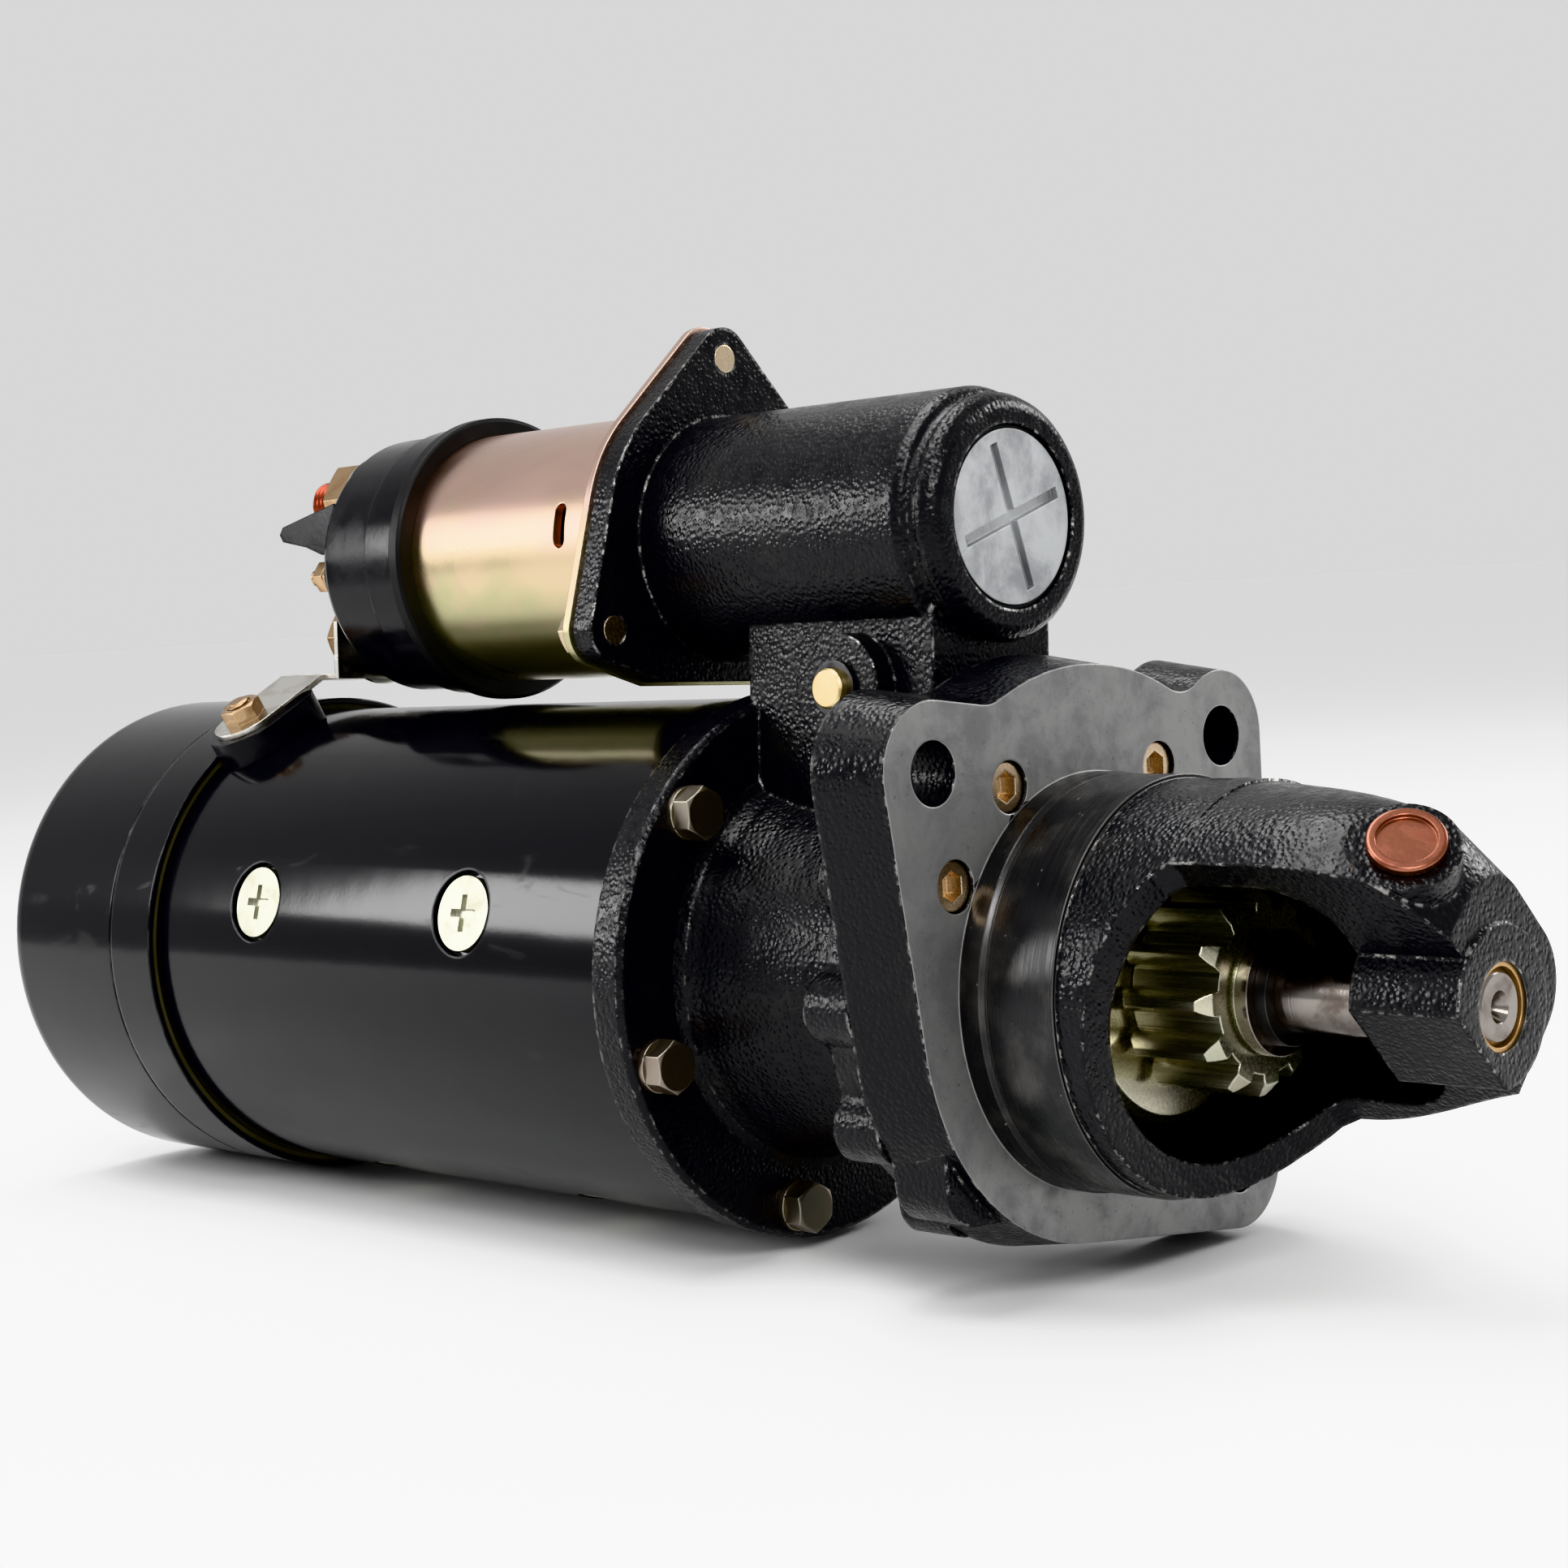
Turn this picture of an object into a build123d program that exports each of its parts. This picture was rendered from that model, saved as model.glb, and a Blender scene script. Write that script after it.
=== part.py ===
from build123d import *

# Heavy-duty engine starter motor with a shift solenoid, as separate pieces in millimetres.
#
# Frame: the origin is the middle of the mounting pilot, on the face of the mounting flange.
# +X runs along the shaft towards the nose, +Z is up, and the flange's holes are square with
# Y and Z. The solenoid and the lever's tower lean a few degrees from straight up.

import os
from math import acos, asin, cos, degrees, hypot, pi, radians, sin, tan

os.makedirs("parts", exist_ok=True)

# ---------------------------------------------------------------- driving dimensions
LEAN = -3.3  # lean of the solenoid about the shaft, in degrees
SOLENOID_HEIGHT = 102.8  # from the shaft's axis to the solenoid's axis
OPEN_SIDE = 225.0  # direction about the shaft in which the nose is open
RUNNING = 0.05  # radial running clearance

FRAME_R = 64.0  # field frame, outside
FRAME_BORE = 56.5
FRAME_REAR = -284.0
FRAME_FRONT = -92.4
POLE_START = 164.0  # direction of the first pole shoe
POLE_SCREW_X = (-228.0, -143.5)
POLE_SEAT = FRAME_R - 3.6  # bottom of the pole screws' counterbores
POLE_RECESS = 2.0  # depth of the cross in a pole screw's head
LEAD_HOLE_R = 5.2  # hole in the frame for the field lead

CORE_REAR = -245.0  # laminated core of the armature
CORE_FRONT = -125.0
WINDING_END = 15.0  # how far the end turns stand out at the front
COMMUTATOR_REAR = -312.0
COMMUTATOR_FRONT = -270.0
SHOE_REAR = -248.0  # pole shoes
SHOE_FRONT = -121.0
COIL_REAR = -259.0  # field coils
COIL_FRONT = -108.0
COIL_BAND = 11.0  # width of a coil's end, along the shaft

CAP_R = 67.2  # rear cap, outside
CAP_REAR = -347.0
CAP_FRONT = -272.0
CAP_WALL = 5.5
REAR_SCREW_R = 44.0

RIM_R = 66.0  # rear rim of the lever housing
RIM_FRONT = -83.5
RIM_BOLT_R = 58.0
PLATE_R = 54.3  # centre bearing plate, seated in the rim
RIM_BOLT_ANGLES = (16, 136, 196, 256, 316)
RIM_SHANK_R = 3.0
RIM_HOLE_R = 3.1
WASHER = 1.6
NECK_REAR = -31.0  # scalloped flange of the lever housing
FLANGE_REAR = -18.0  # back of the mounting flange
LOBE_R = 61.0
VALLEY_R = 54.0
LOBES = 12

HOLE_SQUARE = 50.0  # mounting holes at plus and minus this in Y and Z
MOUNT_HOLE_R = 6.9
MOUNT_HOLES = ((-HOLE_SQUARE, HOLE_SQUARE), (HOLE_SQUARE, HOLE_SQUARE), (HOLE_SQUARE, -HOLE_SQUARE))
EAR_R = 15.2
NOSE_SCREW_R = 52.0
NOSE_SCREW_ANGLES = (30, 60, 120, 150, 300, 330)
NOSE_SCREW_SEAT = -8.0
NOSE_SCREW_HEAD = 7.0
NOSE_SHANK_R = 3.1
NOSE_SHANK = 22.0

PILOT_R = 46.03
PILOT_LENGTH = 6.3
REGISTER_FRONT = 24.4  # where the machined register ends and the rough snout begins
SNOUT_R = 44.5
SNOUT_BORE = 37.0
CAVITY_FRONT = 75.5
CAVITY_ROUNDING = 15.0  # where the hollow meets its front wall
BOSS_FRONT = 100.0
BOSS_R = 16.5
BOSS_FACET = 11.5  # flat on the open side of the nose boss
BUSH_R = 9.0
WICK_CENTRE = (91.5, -18.5, 33.4)
WICK_NORMAL = (0.40, -0.583, 0.708)
WICK_CAP_R = 7.8

SHAFT_NOSE_R = 7.95
SHAFT_SPLINE_R = 11.5
SHAFT_BODY_R = 12.0
COMMUTATOR_R = 26.0
ARMATURE_SLOTS = 29

TEETH = 12
TIP_R = 22.2
ROOT_R = 17.3
PITCH_R = 19.02
PRESSURE_ANGLE = radians(20)
PINION_REAR = 23.0
PINION_FRONT = 45.0
HUB_R = 15.2  # inner half of the clutch, behind the pinion
HUB_REAR = -5.5
SLEEVE_R = 16.0  # sleeve of the clutch, on which the shift collar sits

PIVOT_X = -52.5  # lever pin
PIVOT_HEIGHT = 65.4
PIN_R = 4.6
STROKE = 19.0  # travel of the drive along the shaft
LOWER_ARM = hypot(PIVOT_HEIGHT, STROKE / 2)
UPPER_ARM = SOLENOID_HEIGHT - PIVOT_HEIGHT
LEVER_TILT = degrees(asin(STROKE / 2 / LOWER_ARM))
COLLAR_X = PIVOT_X - STROKE / 2  # middle of the shift collar's groove at rest
LINK_X = PIVOT_X + UPPER_ARM * sin(radians(LEVER_TILT))  # lever's upper end at rest

TUBE_R = 29.9  # solenoid tube of the lever housing
TUBE_BORE = 24.5
TUBE_FRONT = -21.3
PLUG_SEAT = -27.5  # inner face of the tube's front wall
PLUG_R = 19.6
PLUG_SLOT = 2.0  # depth of the cross in the plug
SOLENOID_FACE = -119.5  # where the solenoid bolts on
PLATE_BACK = -121.5
CASE_R = 32.5
CASE_REAR = -200.0
SCREW_CIRCLE = 44.3
SOLENOID_HOLE_R = 3.5
EAR_PLATE = 7.0  # thickness of the housing's flange for the solenoid
SOLENOID_SCREW_ANGLES = (90, 210, 330)
PLUNGER_R = 15.95
PLUNGER_REAR = -168.0
SPRING_COLLAR_X = -78.0

CAP_END = -234.0  # rear face of the solenoid's cap
STUD_SEAT = -248.0  # top of the cap's boss, where the terminals clamp
CONTACT_FACE = -223.1  # inner ends of the studs
STUD_Y = -3.0
STUD_OFFSET = 19.0  # studs above and below the solenoid's axis
STUD_R = 6.35
SWITCH_Y = -24.0
SWITCH_HEIGHT = SOLENOID_HEIGHT - 3  # switch terminal, from the shaft's axis
SWITCH_SEAT = -237.5
STRAP = 1.6  # thickness of the motor strap
STRAP_Z = 72.2  # underside of its flat shelf
STRAP_REAR = -274.0
TERMINAL_X = -265.5
TERMINAL_ANGLE = 118.0
TERMINAL_SEAT = 71.0  # from the shaft's axis to the top of the insulator
BRUSH_X = -294.0
BRUSH_ANGLES = (0, 90, 180, 270)


# ---------------------------------------------------------------- planes and shared shapes
def leaning(x, y, z):
    """Frame coordinates of a point given in the solenoid's leaning axes."""
    t = radians(LEAN)
    return (x, y * cos(t) - z * sin(t), y * sin(t) + z * cos(t))


SHAFT_LINE = (0, 0, 0)
SOLENOID_LINE = leaning(0, 0, SOLENOID_HEIGHT)


def across(x, turned=0.0):
    """Plane square to the shaft, whose own x axis is +Y turned about the shaft."""
    t = radians(turned)
    return Plane(origin=(x, 0, 0), x_dir=(0, cos(t), sin(t)), z_dir=(1, 0, 0))


def lean_across(x, y=0.0, z=SOLENOID_HEIGHT, forwards=1, turned=0.0):
    """Plane square to the shaft, centred on a point given in the leaning axes."""
    t = radians(LEAN + turned)
    return Plane(origin=leaning(x, y, z), x_dir=(0, cos(t), sin(t)), z_dir=(forwards, 0, 0))


def lean_side(x, y, z):
    """Plane facing -Y in the leaning axes: own x is +X and own y is up."""
    t = radians(LEAN)
    return Plane(origin=leaning(x, y, z), x_dir=(1, 0, 0), z_dir=(0, -cos(t), -sin(t)))


def radial(x, angle, radius):
    """Plane facing outwards from the shaft, in a direction and at a radius."""
    t = radians(angle)
    outwards = (0, cos(t), sin(t))
    return Plane(origin=(x, radius * cos(t), radius * sin(t)), x_dir=(1, 0, 0), z_dir=outwards)


def along(x, angle, radius, forwards=1):
    """Plane facing forwards or back, centred on a circle about the shaft."""
    t = radians(angle)
    return Plane(origin=(x, radius * cos(t), radius * sin(t)), z_dir=(forwards, 0, 0))


def turn(profile, line=SHAFT_LINE, mode=Mode.ADD):
    """Turn a closed outline of (x, radius) corners about a line along X."""
    with BuildSketch(Plane(origin=line, x_dir=(1, 0, 0), z_dir=(0, -1, 0))) as outline:
        with BuildLine():
            Polyline(*profile, close=True)
        make_face()
    revolve(outline.sketch, axis=Axis(line, (1, 0, 0)), mode=mode)


def tube(start, end, outer, inner=0.0, line=SHAFT_LINE, mode=Mode.ADD):
    """Plain tube, ring or disc between two places along X."""
    turn([(start, inner), (start, outer), (end, outer), (end, inner)], line, mode)


def rod(plane, radius, length, mode=Mode.ADD):
    """Round bar standing on a plane, or sunk below it when its length is negative."""
    with BuildSketch(plane) as outline:
        Circle(radius)
    extrude(outline.sketch, amount=length, mode=mode)


def block(plane, width, height, length, mode=Mode.ADD):
    """Square bar standing on a plane."""
    with BuildSketch(plane) as outline:
        Rectangle(width, height)
    extrude(outline.sketch, amount=length, mode=mode)


def hexagon(across_flats, height):
    """Hexagon head or nut on the XY plane, its corners turned off at the top."""
    with BuildPart() as head:
        with BuildSketch():
            RegularPolygon(across_flats / 2, 6, major_radius=False)
        extrude(amount=height)
        Cone(across_flats / 2 + height * tan(radians(60)), across_flats * 0.48, height,
             align=(Align.CENTER, Align.CENTER, Align.MIN), mode=Mode.INTERSECT)
    return head.part


def sector(inner, outer, middle, half_width):
    """Part of a ring seen along the shaft, centred on one direction."""
    with BuildSketch() as piece:
        with BuildLine():
            near = CenterArc((0, 0), inner, middle - half_width, 2 * half_width)
            far = CenterArc((0, 0), outer, middle - half_width, 2 * half_width)
            Line(near @ 0, far @ 0)
            Line(near @ 1, far @ 1)
        make_face()
    return piece.sketch


def hull_of(*circles):
    """Convex outline round several circles, each given as (y, z, radius)."""
    with BuildSketch() as outline:
        for y, z, radius in circles:
            with Locations((y, z)):
                Circle(radius)
        make_hull()
    return outline.sketch


def write(node, piece):
    """Label a finished piece and write its file."""
    piece.part.label = node
    export_step(piece.part, f"parts/{node}.step")


# ---------------------------------------------------------------- field frame and magnets
# Steel tube with eight counterbored holes for the pole screws and one for the field lead.
with BuildPart() as field_frame:
    tube(FRAME_REAR, FRAME_FRONT, FRAME_R, FRAME_BORE)
    for x in POLE_SCREW_X:
        for quarter in range(4):
            with Locations(radial(x, POLE_START + 90 * quarter, FRAME_R)):
                CounterBoreHole(5.2, 10.5, FRAME_R - POLE_SEAT, depth=12)
    with Locations(radial(TERMINAL_X, TERMINAL_ANGLE, FRAME_R)):
        Hole(LEAD_HOLE_R, depth=12)
write("field_frame", field_frame)

# Flat-headed screws with a cross recess, one solid for each of the eight holes.
with BuildPart() as pole_screws:
    for x in POLE_SCREW_X:
        for quarter in range(4):
            seat = radial(x, POLE_START + 90 * quarter, POLE_SEAT)
            rod(seat, 9.2, 2.9)
            rod(seat, 4.9, -13)
            cross = seat.offset(2.9 - POLE_RECESS)
            block(cross, 9.0, 1.9, POLE_RECESS, Mode.SUBTRACT)
            block(cross, 1.9, 9.0, POLE_RECESS, Mode.SUBTRACT)
write("pole_screws", pole_screws)

# Soft-iron blocks with wide tips next to the armature, tapped for the pole screws.
with BuildPart() as pole_shoes:
    with BuildSketch(across(SHOE_REAR)):
        for quarter in range(4):
            add(sector(41, 56.3, POLE_START + 90 * quarter, 19))
            add(sector(39.2, 42, POLE_START + 90 * quarter, 33))
    extrude(amount=SHOE_FRONT - SHOE_REAR)
    for x in POLE_SCREW_X:
        for quarter in range(4):
            rod(radial(x, POLE_START + 90 * quarter, FRAME_R), 5.0, -18, Mode.SUBTRACT)
write("pole_shoes", pole_shoes)

# Taped coils, each a closed loop round its pole shoe.
with BuildPart() as field_coils:
    with BuildSketch(across(COIL_REAR)):
        for quarter in range(4):
            add(sector(43.5, 55.5, POLE_START + 90 * quarter, 38))
    extrude(amount=COIL_FRONT - COIL_REAR)
    with BuildSketch(across(COIL_REAR + COIL_BAND)):
        for quarter in range(4):
            add(sector(40, 60, POLE_START + 90 * quarter, 20))
    extrude(amount=COIL_FRONT - COIL_REAR - 2 * COIL_BAND, mode=Mode.SUBTRACT)
write("field_coils", field_coils)

# Deep cup over the brush end, with the rear bearing's boss and a fine parting groove.
CAP_INNER = CAP_REAR + CAP_WALL
with BuildPart() as rear_cap:
    turn([
        (CAP_REAR, 0), (CAP_REAR, CAP_R), (CAP_FRONT, CAP_R), (CAP_FRONT, 65.6),
        (CAP_FRONT - 4, 65.6), (CAP_FRONT - 4, FRAME_R + 0.1), (FRAME_REAR, FRAME_R + 0.1),
        (FRAME_REAR, CAP_R - CAP_WALL), (CAP_INNER, CAP_R - CAP_WALL), (CAP_INNER, 20),
        (-322, 20), (-322, 11), (CAP_INNER, 11), (CAP_INNER, 0),
    ])
    fillet(rear_cap.faces().sort_by(Axis.X)[0].edges(), 9)
    tube(-291.3, -290.6, CAP_R + 1, CAP_R - 0.5, mode=Mode.SUBTRACT)
    for quarter in range(4):
        with Locations(along(CAP_REAR, 45 + 90 * quarter, REAR_SCREW_R, -1)):
            CounterBoreHole(3.3, 7.5, 2.0, depth=CAP_WALL + 1)
write("rear_cap", rear_cap)

# Hexagon screws in the back of the cap, which hold the brush plate.
rear_head = hexagon(10, 4.5)
with BuildPart() as rear_screws:
    for quarter in range(4):
        seat = along(CAP_REAR + 2, 45 + 90 * quarter, REAR_SCREW_R, -1)
        with Locations(seat):
            add(rear_head)
        rod(seat, 3.0, -30)
write("rear_screws", rear_screws)

# Rubber ring in the gap between the cap's mouth and the frame.
with BuildPart() as frame_seal_ring:
    tube(CAP_FRONT - 3.8, CAP_FRONT - 0.8, 65.5, FRAME_R + 0.1)
write("frame_seal_ring", frame_seal_ring)

# ---------------------------------------------------------------- brush gear
# Plate with four open boxes that guide the brushes.
with BuildPart() as brush_holders:
    tube(-318, -314.5, 56, 30)
    for angle in BRUSH_ANGLES:
        block(radial(BRUSH_X, angle, 32), 41, 13, 18)
    for angle in BRUSH_ANGLES:
        block(radial(BRUSH_X, angle, 31), 17.2, 8.2, 20, Mode.SUBTRACT)
    for quarter in range(4):
        rod(along(-320, 45 + 90 * quarter, REAR_SCREW_R), 3.1, 8, Mode.SUBTRACT)
write("brush_holders", brush_holders)

# Carbon blocks, just clear of the commutator.
with BuildPart() as brushes:
    for angle in BRUSH_ANGLES:
        block(radial(BRUSH_X, angle, COMMUTATOR_R + 0.4), 17, 8, 20)
write("brushes", brushes)

# Leaf springs, bent into a Z, that press on the backs of the brushes.
SPRING_BACK = COMMUTATOR_R + 20.5
with BuildPart() as brush_springs:
    for angle in BRUSH_ANGLES:
        block(radial(BRUSH_X, angle, SPRING_BACK), 15, 6, 1)
        block(radial(BRUSH_X + 6.5, angle, SPRING_BACK), 1.6, 6, 7)
        block(radial(BRUSH_X, angle, SPRING_BACK + 6), 15, 6, 1)
write("brush_springs", brush_springs)

# ---------------------------------------------------------------- armature
# Stepped shaft with splines for the drive, a chamfered nose and its centre hole.
SHAFT_END = BOSS_FRONT - 0.8
with BuildPart() as armature_shaft:
    turn([
        (-340, 0), (-340, 7), (-339, SHAFT_NOSE_R), (-321, SHAFT_NOSE_R), (-321, SHAFT_BODY_R),
        (-86, SHAFT_BODY_R), (-86, SHAFT_SPLINE_R), (20, SHAFT_SPLINE_R), (22, SHAFT_NOSE_R),
        (SHAFT_END - 1.2, SHAFT_NOSE_R), (SHAFT_END, SHAFT_NOSE_R - 1.2), (SHAFT_END, 3.3),
        (SHAFT_END - 4, 1.2), (SHAFT_END - 9, 1.2), (SHAFT_END - 9, 0),
    ])
    with BuildSketch(across(-82)):
        with PolarLocations(SHAFT_SPLINE_R, 10):
            Rectangle(1.6, 3.2)
    extrude(amount=96, mode=Mode.SUBTRACT)
write("armature_shaft", armature_shaft)

# Laminated drum with straight slots for the windings.
with BuildPart() as armature_core:
    tube(CORE_REAR, CORE_FRONT, 38.6, SHAFT_BODY_R)
    with BuildSketch(across(CORE_REAR)):
        with PolarLocations(34.2, ARMATURE_SLOTS):
            Rectangle(10, 4.2)
    extrude(amount=CORE_FRONT - CORE_REAR, mode=Mode.SUBTRACT)
write("armature_core", armature_core)

# Copper bars in the slots, with their end turns.
with BuildPart() as armature_windings:
    tube(COMMUTATOR_FRONT + 8, CORE_REAR, 36.5, 24)
    tube(CORE_FRONT, CORE_FRONT + WINDING_END, 36.5, 24)
    with BuildSketch(across(CORE_REAR - 1)):
        with PolarLocations(33.1, ARMATURE_SLOTS):
            Rectangle(7.4, 3.9)
    extrude(amount=CORE_FRONT - CORE_REAR + 2)
write("armature_windings", armature_windings)

# Drum of copper bars, parted by narrow slots.
with BuildPart() as commutator:
    tube(COMMUTATOR_REAR, COMMUTATOR_FRONT, COMMUTATOR_R, SHAFT_BODY_R)
    tube(COMMUTATOR_FRONT, COMMUTATOR_FRONT + 8, 30, SHAFT_BODY_R)
    with BuildSketch(across(COMMUTATOR_REAR)):
        with PolarLocations(COMMUTATOR_R, ARMATURE_SLOTS):
            Rectangle(2.4, 0.9)
    extrude(amount=COMMUTATOR_FRONT - COMMUTATOR_REAR, mode=Mode.SUBTRACT)
write("commutator", commutator)

# Plate with a hub for the centre bush, held in the mouth of the lever housing.
with BuildPart() as centre_bearing_plate:
    tube(-95, -90, PLATE_R, 15.5)
    tube(-100, -87, 20, 15.5)
write("centre_bearing_plate", centre_bearing_plate)

with BuildPart() as centre_bush:
    tube(-99, -88, 15.5, SHAFT_BODY_R + RUNNING)
write("centre_bush", centre_bush)

with BuildPart() as rear_bush:
    tube(-341, -322, 11, SHAFT_NOSE_R + RUNNING)
write("rear_bush", rear_bush)


# ---------------------------------------------------------------- lever housing
def solenoid_outline(grow=0.0):
    """Outline of the solenoid's flange: a bulged triangle, cut flatter underneath."""
    bottom = 34.6 + grow
    with BuildSketch() as outline:
        Circle(39.4 + grow)
        with PolarLocations(SCREW_CIRCLE, 3, start_angle=90):
            Circle(7.6 + grow)
        make_hull()
        with Locations((0, -bottom - 20)):
            Rectangle(120, 40, mode=Mode.SUBTRACT)
    return outline.sketch


def solenoid_screw_holes(radius):
    """Three round holes on the solenoid's screw circle."""
    with BuildSketch() as holes:
        with PolarLocations(SCREW_CIRCLE, 3, start_angle=90):
            Circle(radius)
    return holes.sketch


# Casting that joins the field frame, the nose and the solenoid, and holds the lever.
with BuildPart() as lever_housing:
    # rim, bell and neck about the shaft
    turn([
        (FRAME_FRONT, PLATE_R + 0.1), (FRAME_FRONT, RIM_R), (RIM_FRONT - 1.2, RIM_R),
        (RIM_FRONT, RIM_R - 1.2), (RIM_FRONT, 49), (-82.2, 46.8), (-79, 45.4), (-70, 43.2),
        (-58, 41.2), (-46, 40), (FLANGE_REAR, 40), (FLANGE_REAR, 0), (-90, 0), (-90, PLATE_R + 0.1),
    ])
    # scalloped flange
    with BuildSketch(across(NECK_REAR)) as scallops:
        Circle(VALLEY_R)
        with PolarLocations(LOBE_R - 8, LOBES):
            Circle(8)
        fillet(scallops.vertices(), 4.5)
    extrude(amount=FLANGE_REAR - NECK_REAR)
    # tower between the bell and the solenoid tube
    block(lean_across(-86, 0, 55.7), 40, 55.4, 57.5)
    # bosses for the lever pin
    rod(lean_side(PIVOT_X, 26, PIVOT_HEIGHT), 12.5, 52)
    # solenoid tube, with a shallow groove behind its front ring
    turn([
        (-116, 0), (-116, TUBE_R), (-31.5, TUBE_R), (-29.6, 29.1), (-28.6, 27.6), (-27.0, 27.2),
        (-26.2, 27.9), (-25.0, 27.9), (-23.2, 27.0), (-21.9, 25.6), (TUBE_FRONT, 24.2),
        (TUBE_FRONT, 0),
    ], SOLENOID_LINE)
    # three-eared flange for the solenoid
    with BuildSketch(lean_across(SOLENOID_FACE)):
        add(solenoid_outline())
    extrude(amount=EAR_PLATE)
    # hollows: bell, passage for the lever, solenoid tube and plug bore
    tube(-90, -84, 43, mode=Mode.SUBTRACT)
    turn([
        (-84, 0), (-84, 42), (-72, 38), (-60, 36), (-45, 34.5), (-24, 34.5), (-24, 38),
        (FLANGE_REAR, 38), (FLANGE_REAR, 0),
    ], mode=Mode.SUBTRACT)
    block(lean_across(-79, 0, 57), 27, 66, 44, Mode.SUBTRACT)
    tube(SOLENOID_FACE, PLUG_SEAT, TUBE_BORE, 0, SOLENOID_LINE, Mode.SUBTRACT)
    tube(PLUG_SEAT, TUBE_FRONT, 20.7, 0, SOLENOID_LINE, Mode.SUBTRACT)
    # holes for the lever pin, the rim bolts, the nose screws and the solenoid screws
    rod(lean_side(PIVOT_X, 30, PIVOT_HEIGHT), PIN_R + 0.02, 60, Mode.SUBTRACT)
    for angle in RIM_BOLT_ANGLES:
        rod(along(FRAME_FRONT, angle, RIM_BOLT_R), RIM_HOLE_R, 12, Mode.SUBTRACT)
    for angle in NOSE_SCREW_ANGLES:
        rod(along(NECK_REAR, angle, NOSE_SCREW_R), NOSE_SHANK_R + 0.1, 13, Mode.SUBTRACT)
    with BuildSketch(lean_across(SOLENOID_FACE)):
        add(solenoid_screw_holes(SOLENOID_HOLE_R))
    extrude(amount=EAR_PLATE, mode=Mode.SUBTRACT)
write("lever_housing", lever_housing)

# Hexagon bolts that hold the lever housing to the field frame, and their lock washers.
rim_head = hexagon(11, 5.2)
with BuildPart() as rim_bolts:
    for angle in RIM_BOLT_ANGLES:
        seat = along(RIM_FRONT + WASHER, angle, RIM_BOLT_R)
        with Locations(seat):
            add(rim_head)
        rod(seat, RIM_SHANK_R, -10)
write("rim_bolts", rim_bolts)

with BuildPart() as rim_washers:
    for angle in RIM_BOLT_ANGLES:
        seat = along(RIM_FRONT, angle, RIM_BOLT_R)
        rod(seat, 6.2, WASHER)
        rod(seat, RIM_HOLE_R, WASHER, Mode.SUBTRACT)
write("rim_washers", rim_washers)

# Pin across the tower, with a ring that seals its visible end and a clip at the other.
with BuildPart() as lever_pin:
    rod(lean_side(PIVOT_X, 28.5, PIVOT_HEIGHT), PIN_R, 58)
    chamfer(lever_pin.edges().filter_by(GeomType.CIRCLE), 0.6)
write("lever_pin", lever_pin)

with BuildPart() as lever_pin_ring:
    rod(lean_side(PIVOT_X, -26, PIVOT_HEIGHT), 6.4, 1.2)
    rod(lean_side(PIVOT_X, -25, PIVOT_HEIGHT), PIN_R + 0.02, 4, Mode.SUBTRACT)
write("lever_pin_ring", lever_pin_ring)

with BuildPart() as lever_pin_clip:
    rod(lean_side(PIVOT_X, 27.3, PIVOT_HEIGHT), 7.5, 1.2)
    rod(lean_side(PIVOT_X, 28, PIVOT_HEIGHT), PIN_R + 0.02, 4, Mode.SUBTRACT)
write("lever_pin_clip", lever_pin_clip)

# Plug in the front of the solenoid tube, with a cross slot for a driver.
with BuildPart() as tube_plug:
    tube(PLUG_SEAT + 0.2, TUBE_FRONT - 0.6, PLUG_R, 0, SOLENOID_LINE)
    cross = lean_across(TUBE_FRONT - 0.6 - PLUG_SLOT, turned=21)
    block(cross, 34, 2.7, PLUG_SLOT, Mode.SUBTRACT)
    block(cross, 2.7, 34, PLUG_SLOT, Mode.SUBTRACT)
write("tube_plug", tube_plug)

with BuildPart() as plug_seal:
    tube(TUBE_FRONT - 4, TUBE_FRONT - 0.9, 20.65, PLUG_R + 0.05, SOLENOID_LINE)
write("plug_seal", plug_seal)


# ---------------------------------------------------------------- shift lever
def swung(distance, y):
    """Plane facing -Y on the tilted lever, at a distance up its arm from the pivot."""
    t = radians(LEVER_TILT)
    spot = lean_side(PIVOT_X + distance * sin(t), y, PIVOT_HEIGHT + distance * cos(t))
    return Plane(origin=spot.origin, x_dir=leaning(cos(t), 0, -sin(t)), z_dir=spot.z_dir)


FORK_INNER = 26.6
FORK_OUTER = 33.0
SHOE_START = 20.7  # inner end of the shoes, from the shaft's axis
SHOE_LENGTH = 10.8
fork_spot = swung(-LOWER_ARM, 0)
FORK_PLANE = Plane(origin=fork_spot.origin, x_dir=fork_spot.z_dir * -1, z_dir=fork_spot.x_dir)

# Forked lever: its two shoes sit in the collar's groove and its head in the plunger's link.
with BuildPart() as shift_lever:
    # half ring over the shift collar
    with BuildSketch(FORK_PLANE):
        Circle(FORK_OUTER)
        Circle(FORK_INNER, mode=Mode.SUBTRACT)
        with Locations((0, -FORK_OUTER - 4.5)):
            Rectangle(90, 2 * FORK_OUTER, mode=Mode.SUBTRACT)
    extrude(amount=3.4, both=True)
    # shoes at the ends of the fork
    for y in (SHOE_START + SHOE_LENGTH, -SHOE_START):
        rod(swung(-LOWER_ARM, y), 3.6, SHOE_LENGTH)
    # stem, hub and rounded head
    block(swung(-22, 6.5), 7.6, 30, 13)
    rod(swung(0, 8), 8.8, 16)
    block(swung(18, 5.5), 7.0, 38, 11)
    rod(swung(UPPER_ARM, 5.5), 5.0, 11)
    rod(swung(0, 12), PIN_R + RUNNING, 24, Mode.SUBTRACT)
write("shift_lever", shift_lever)

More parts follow.
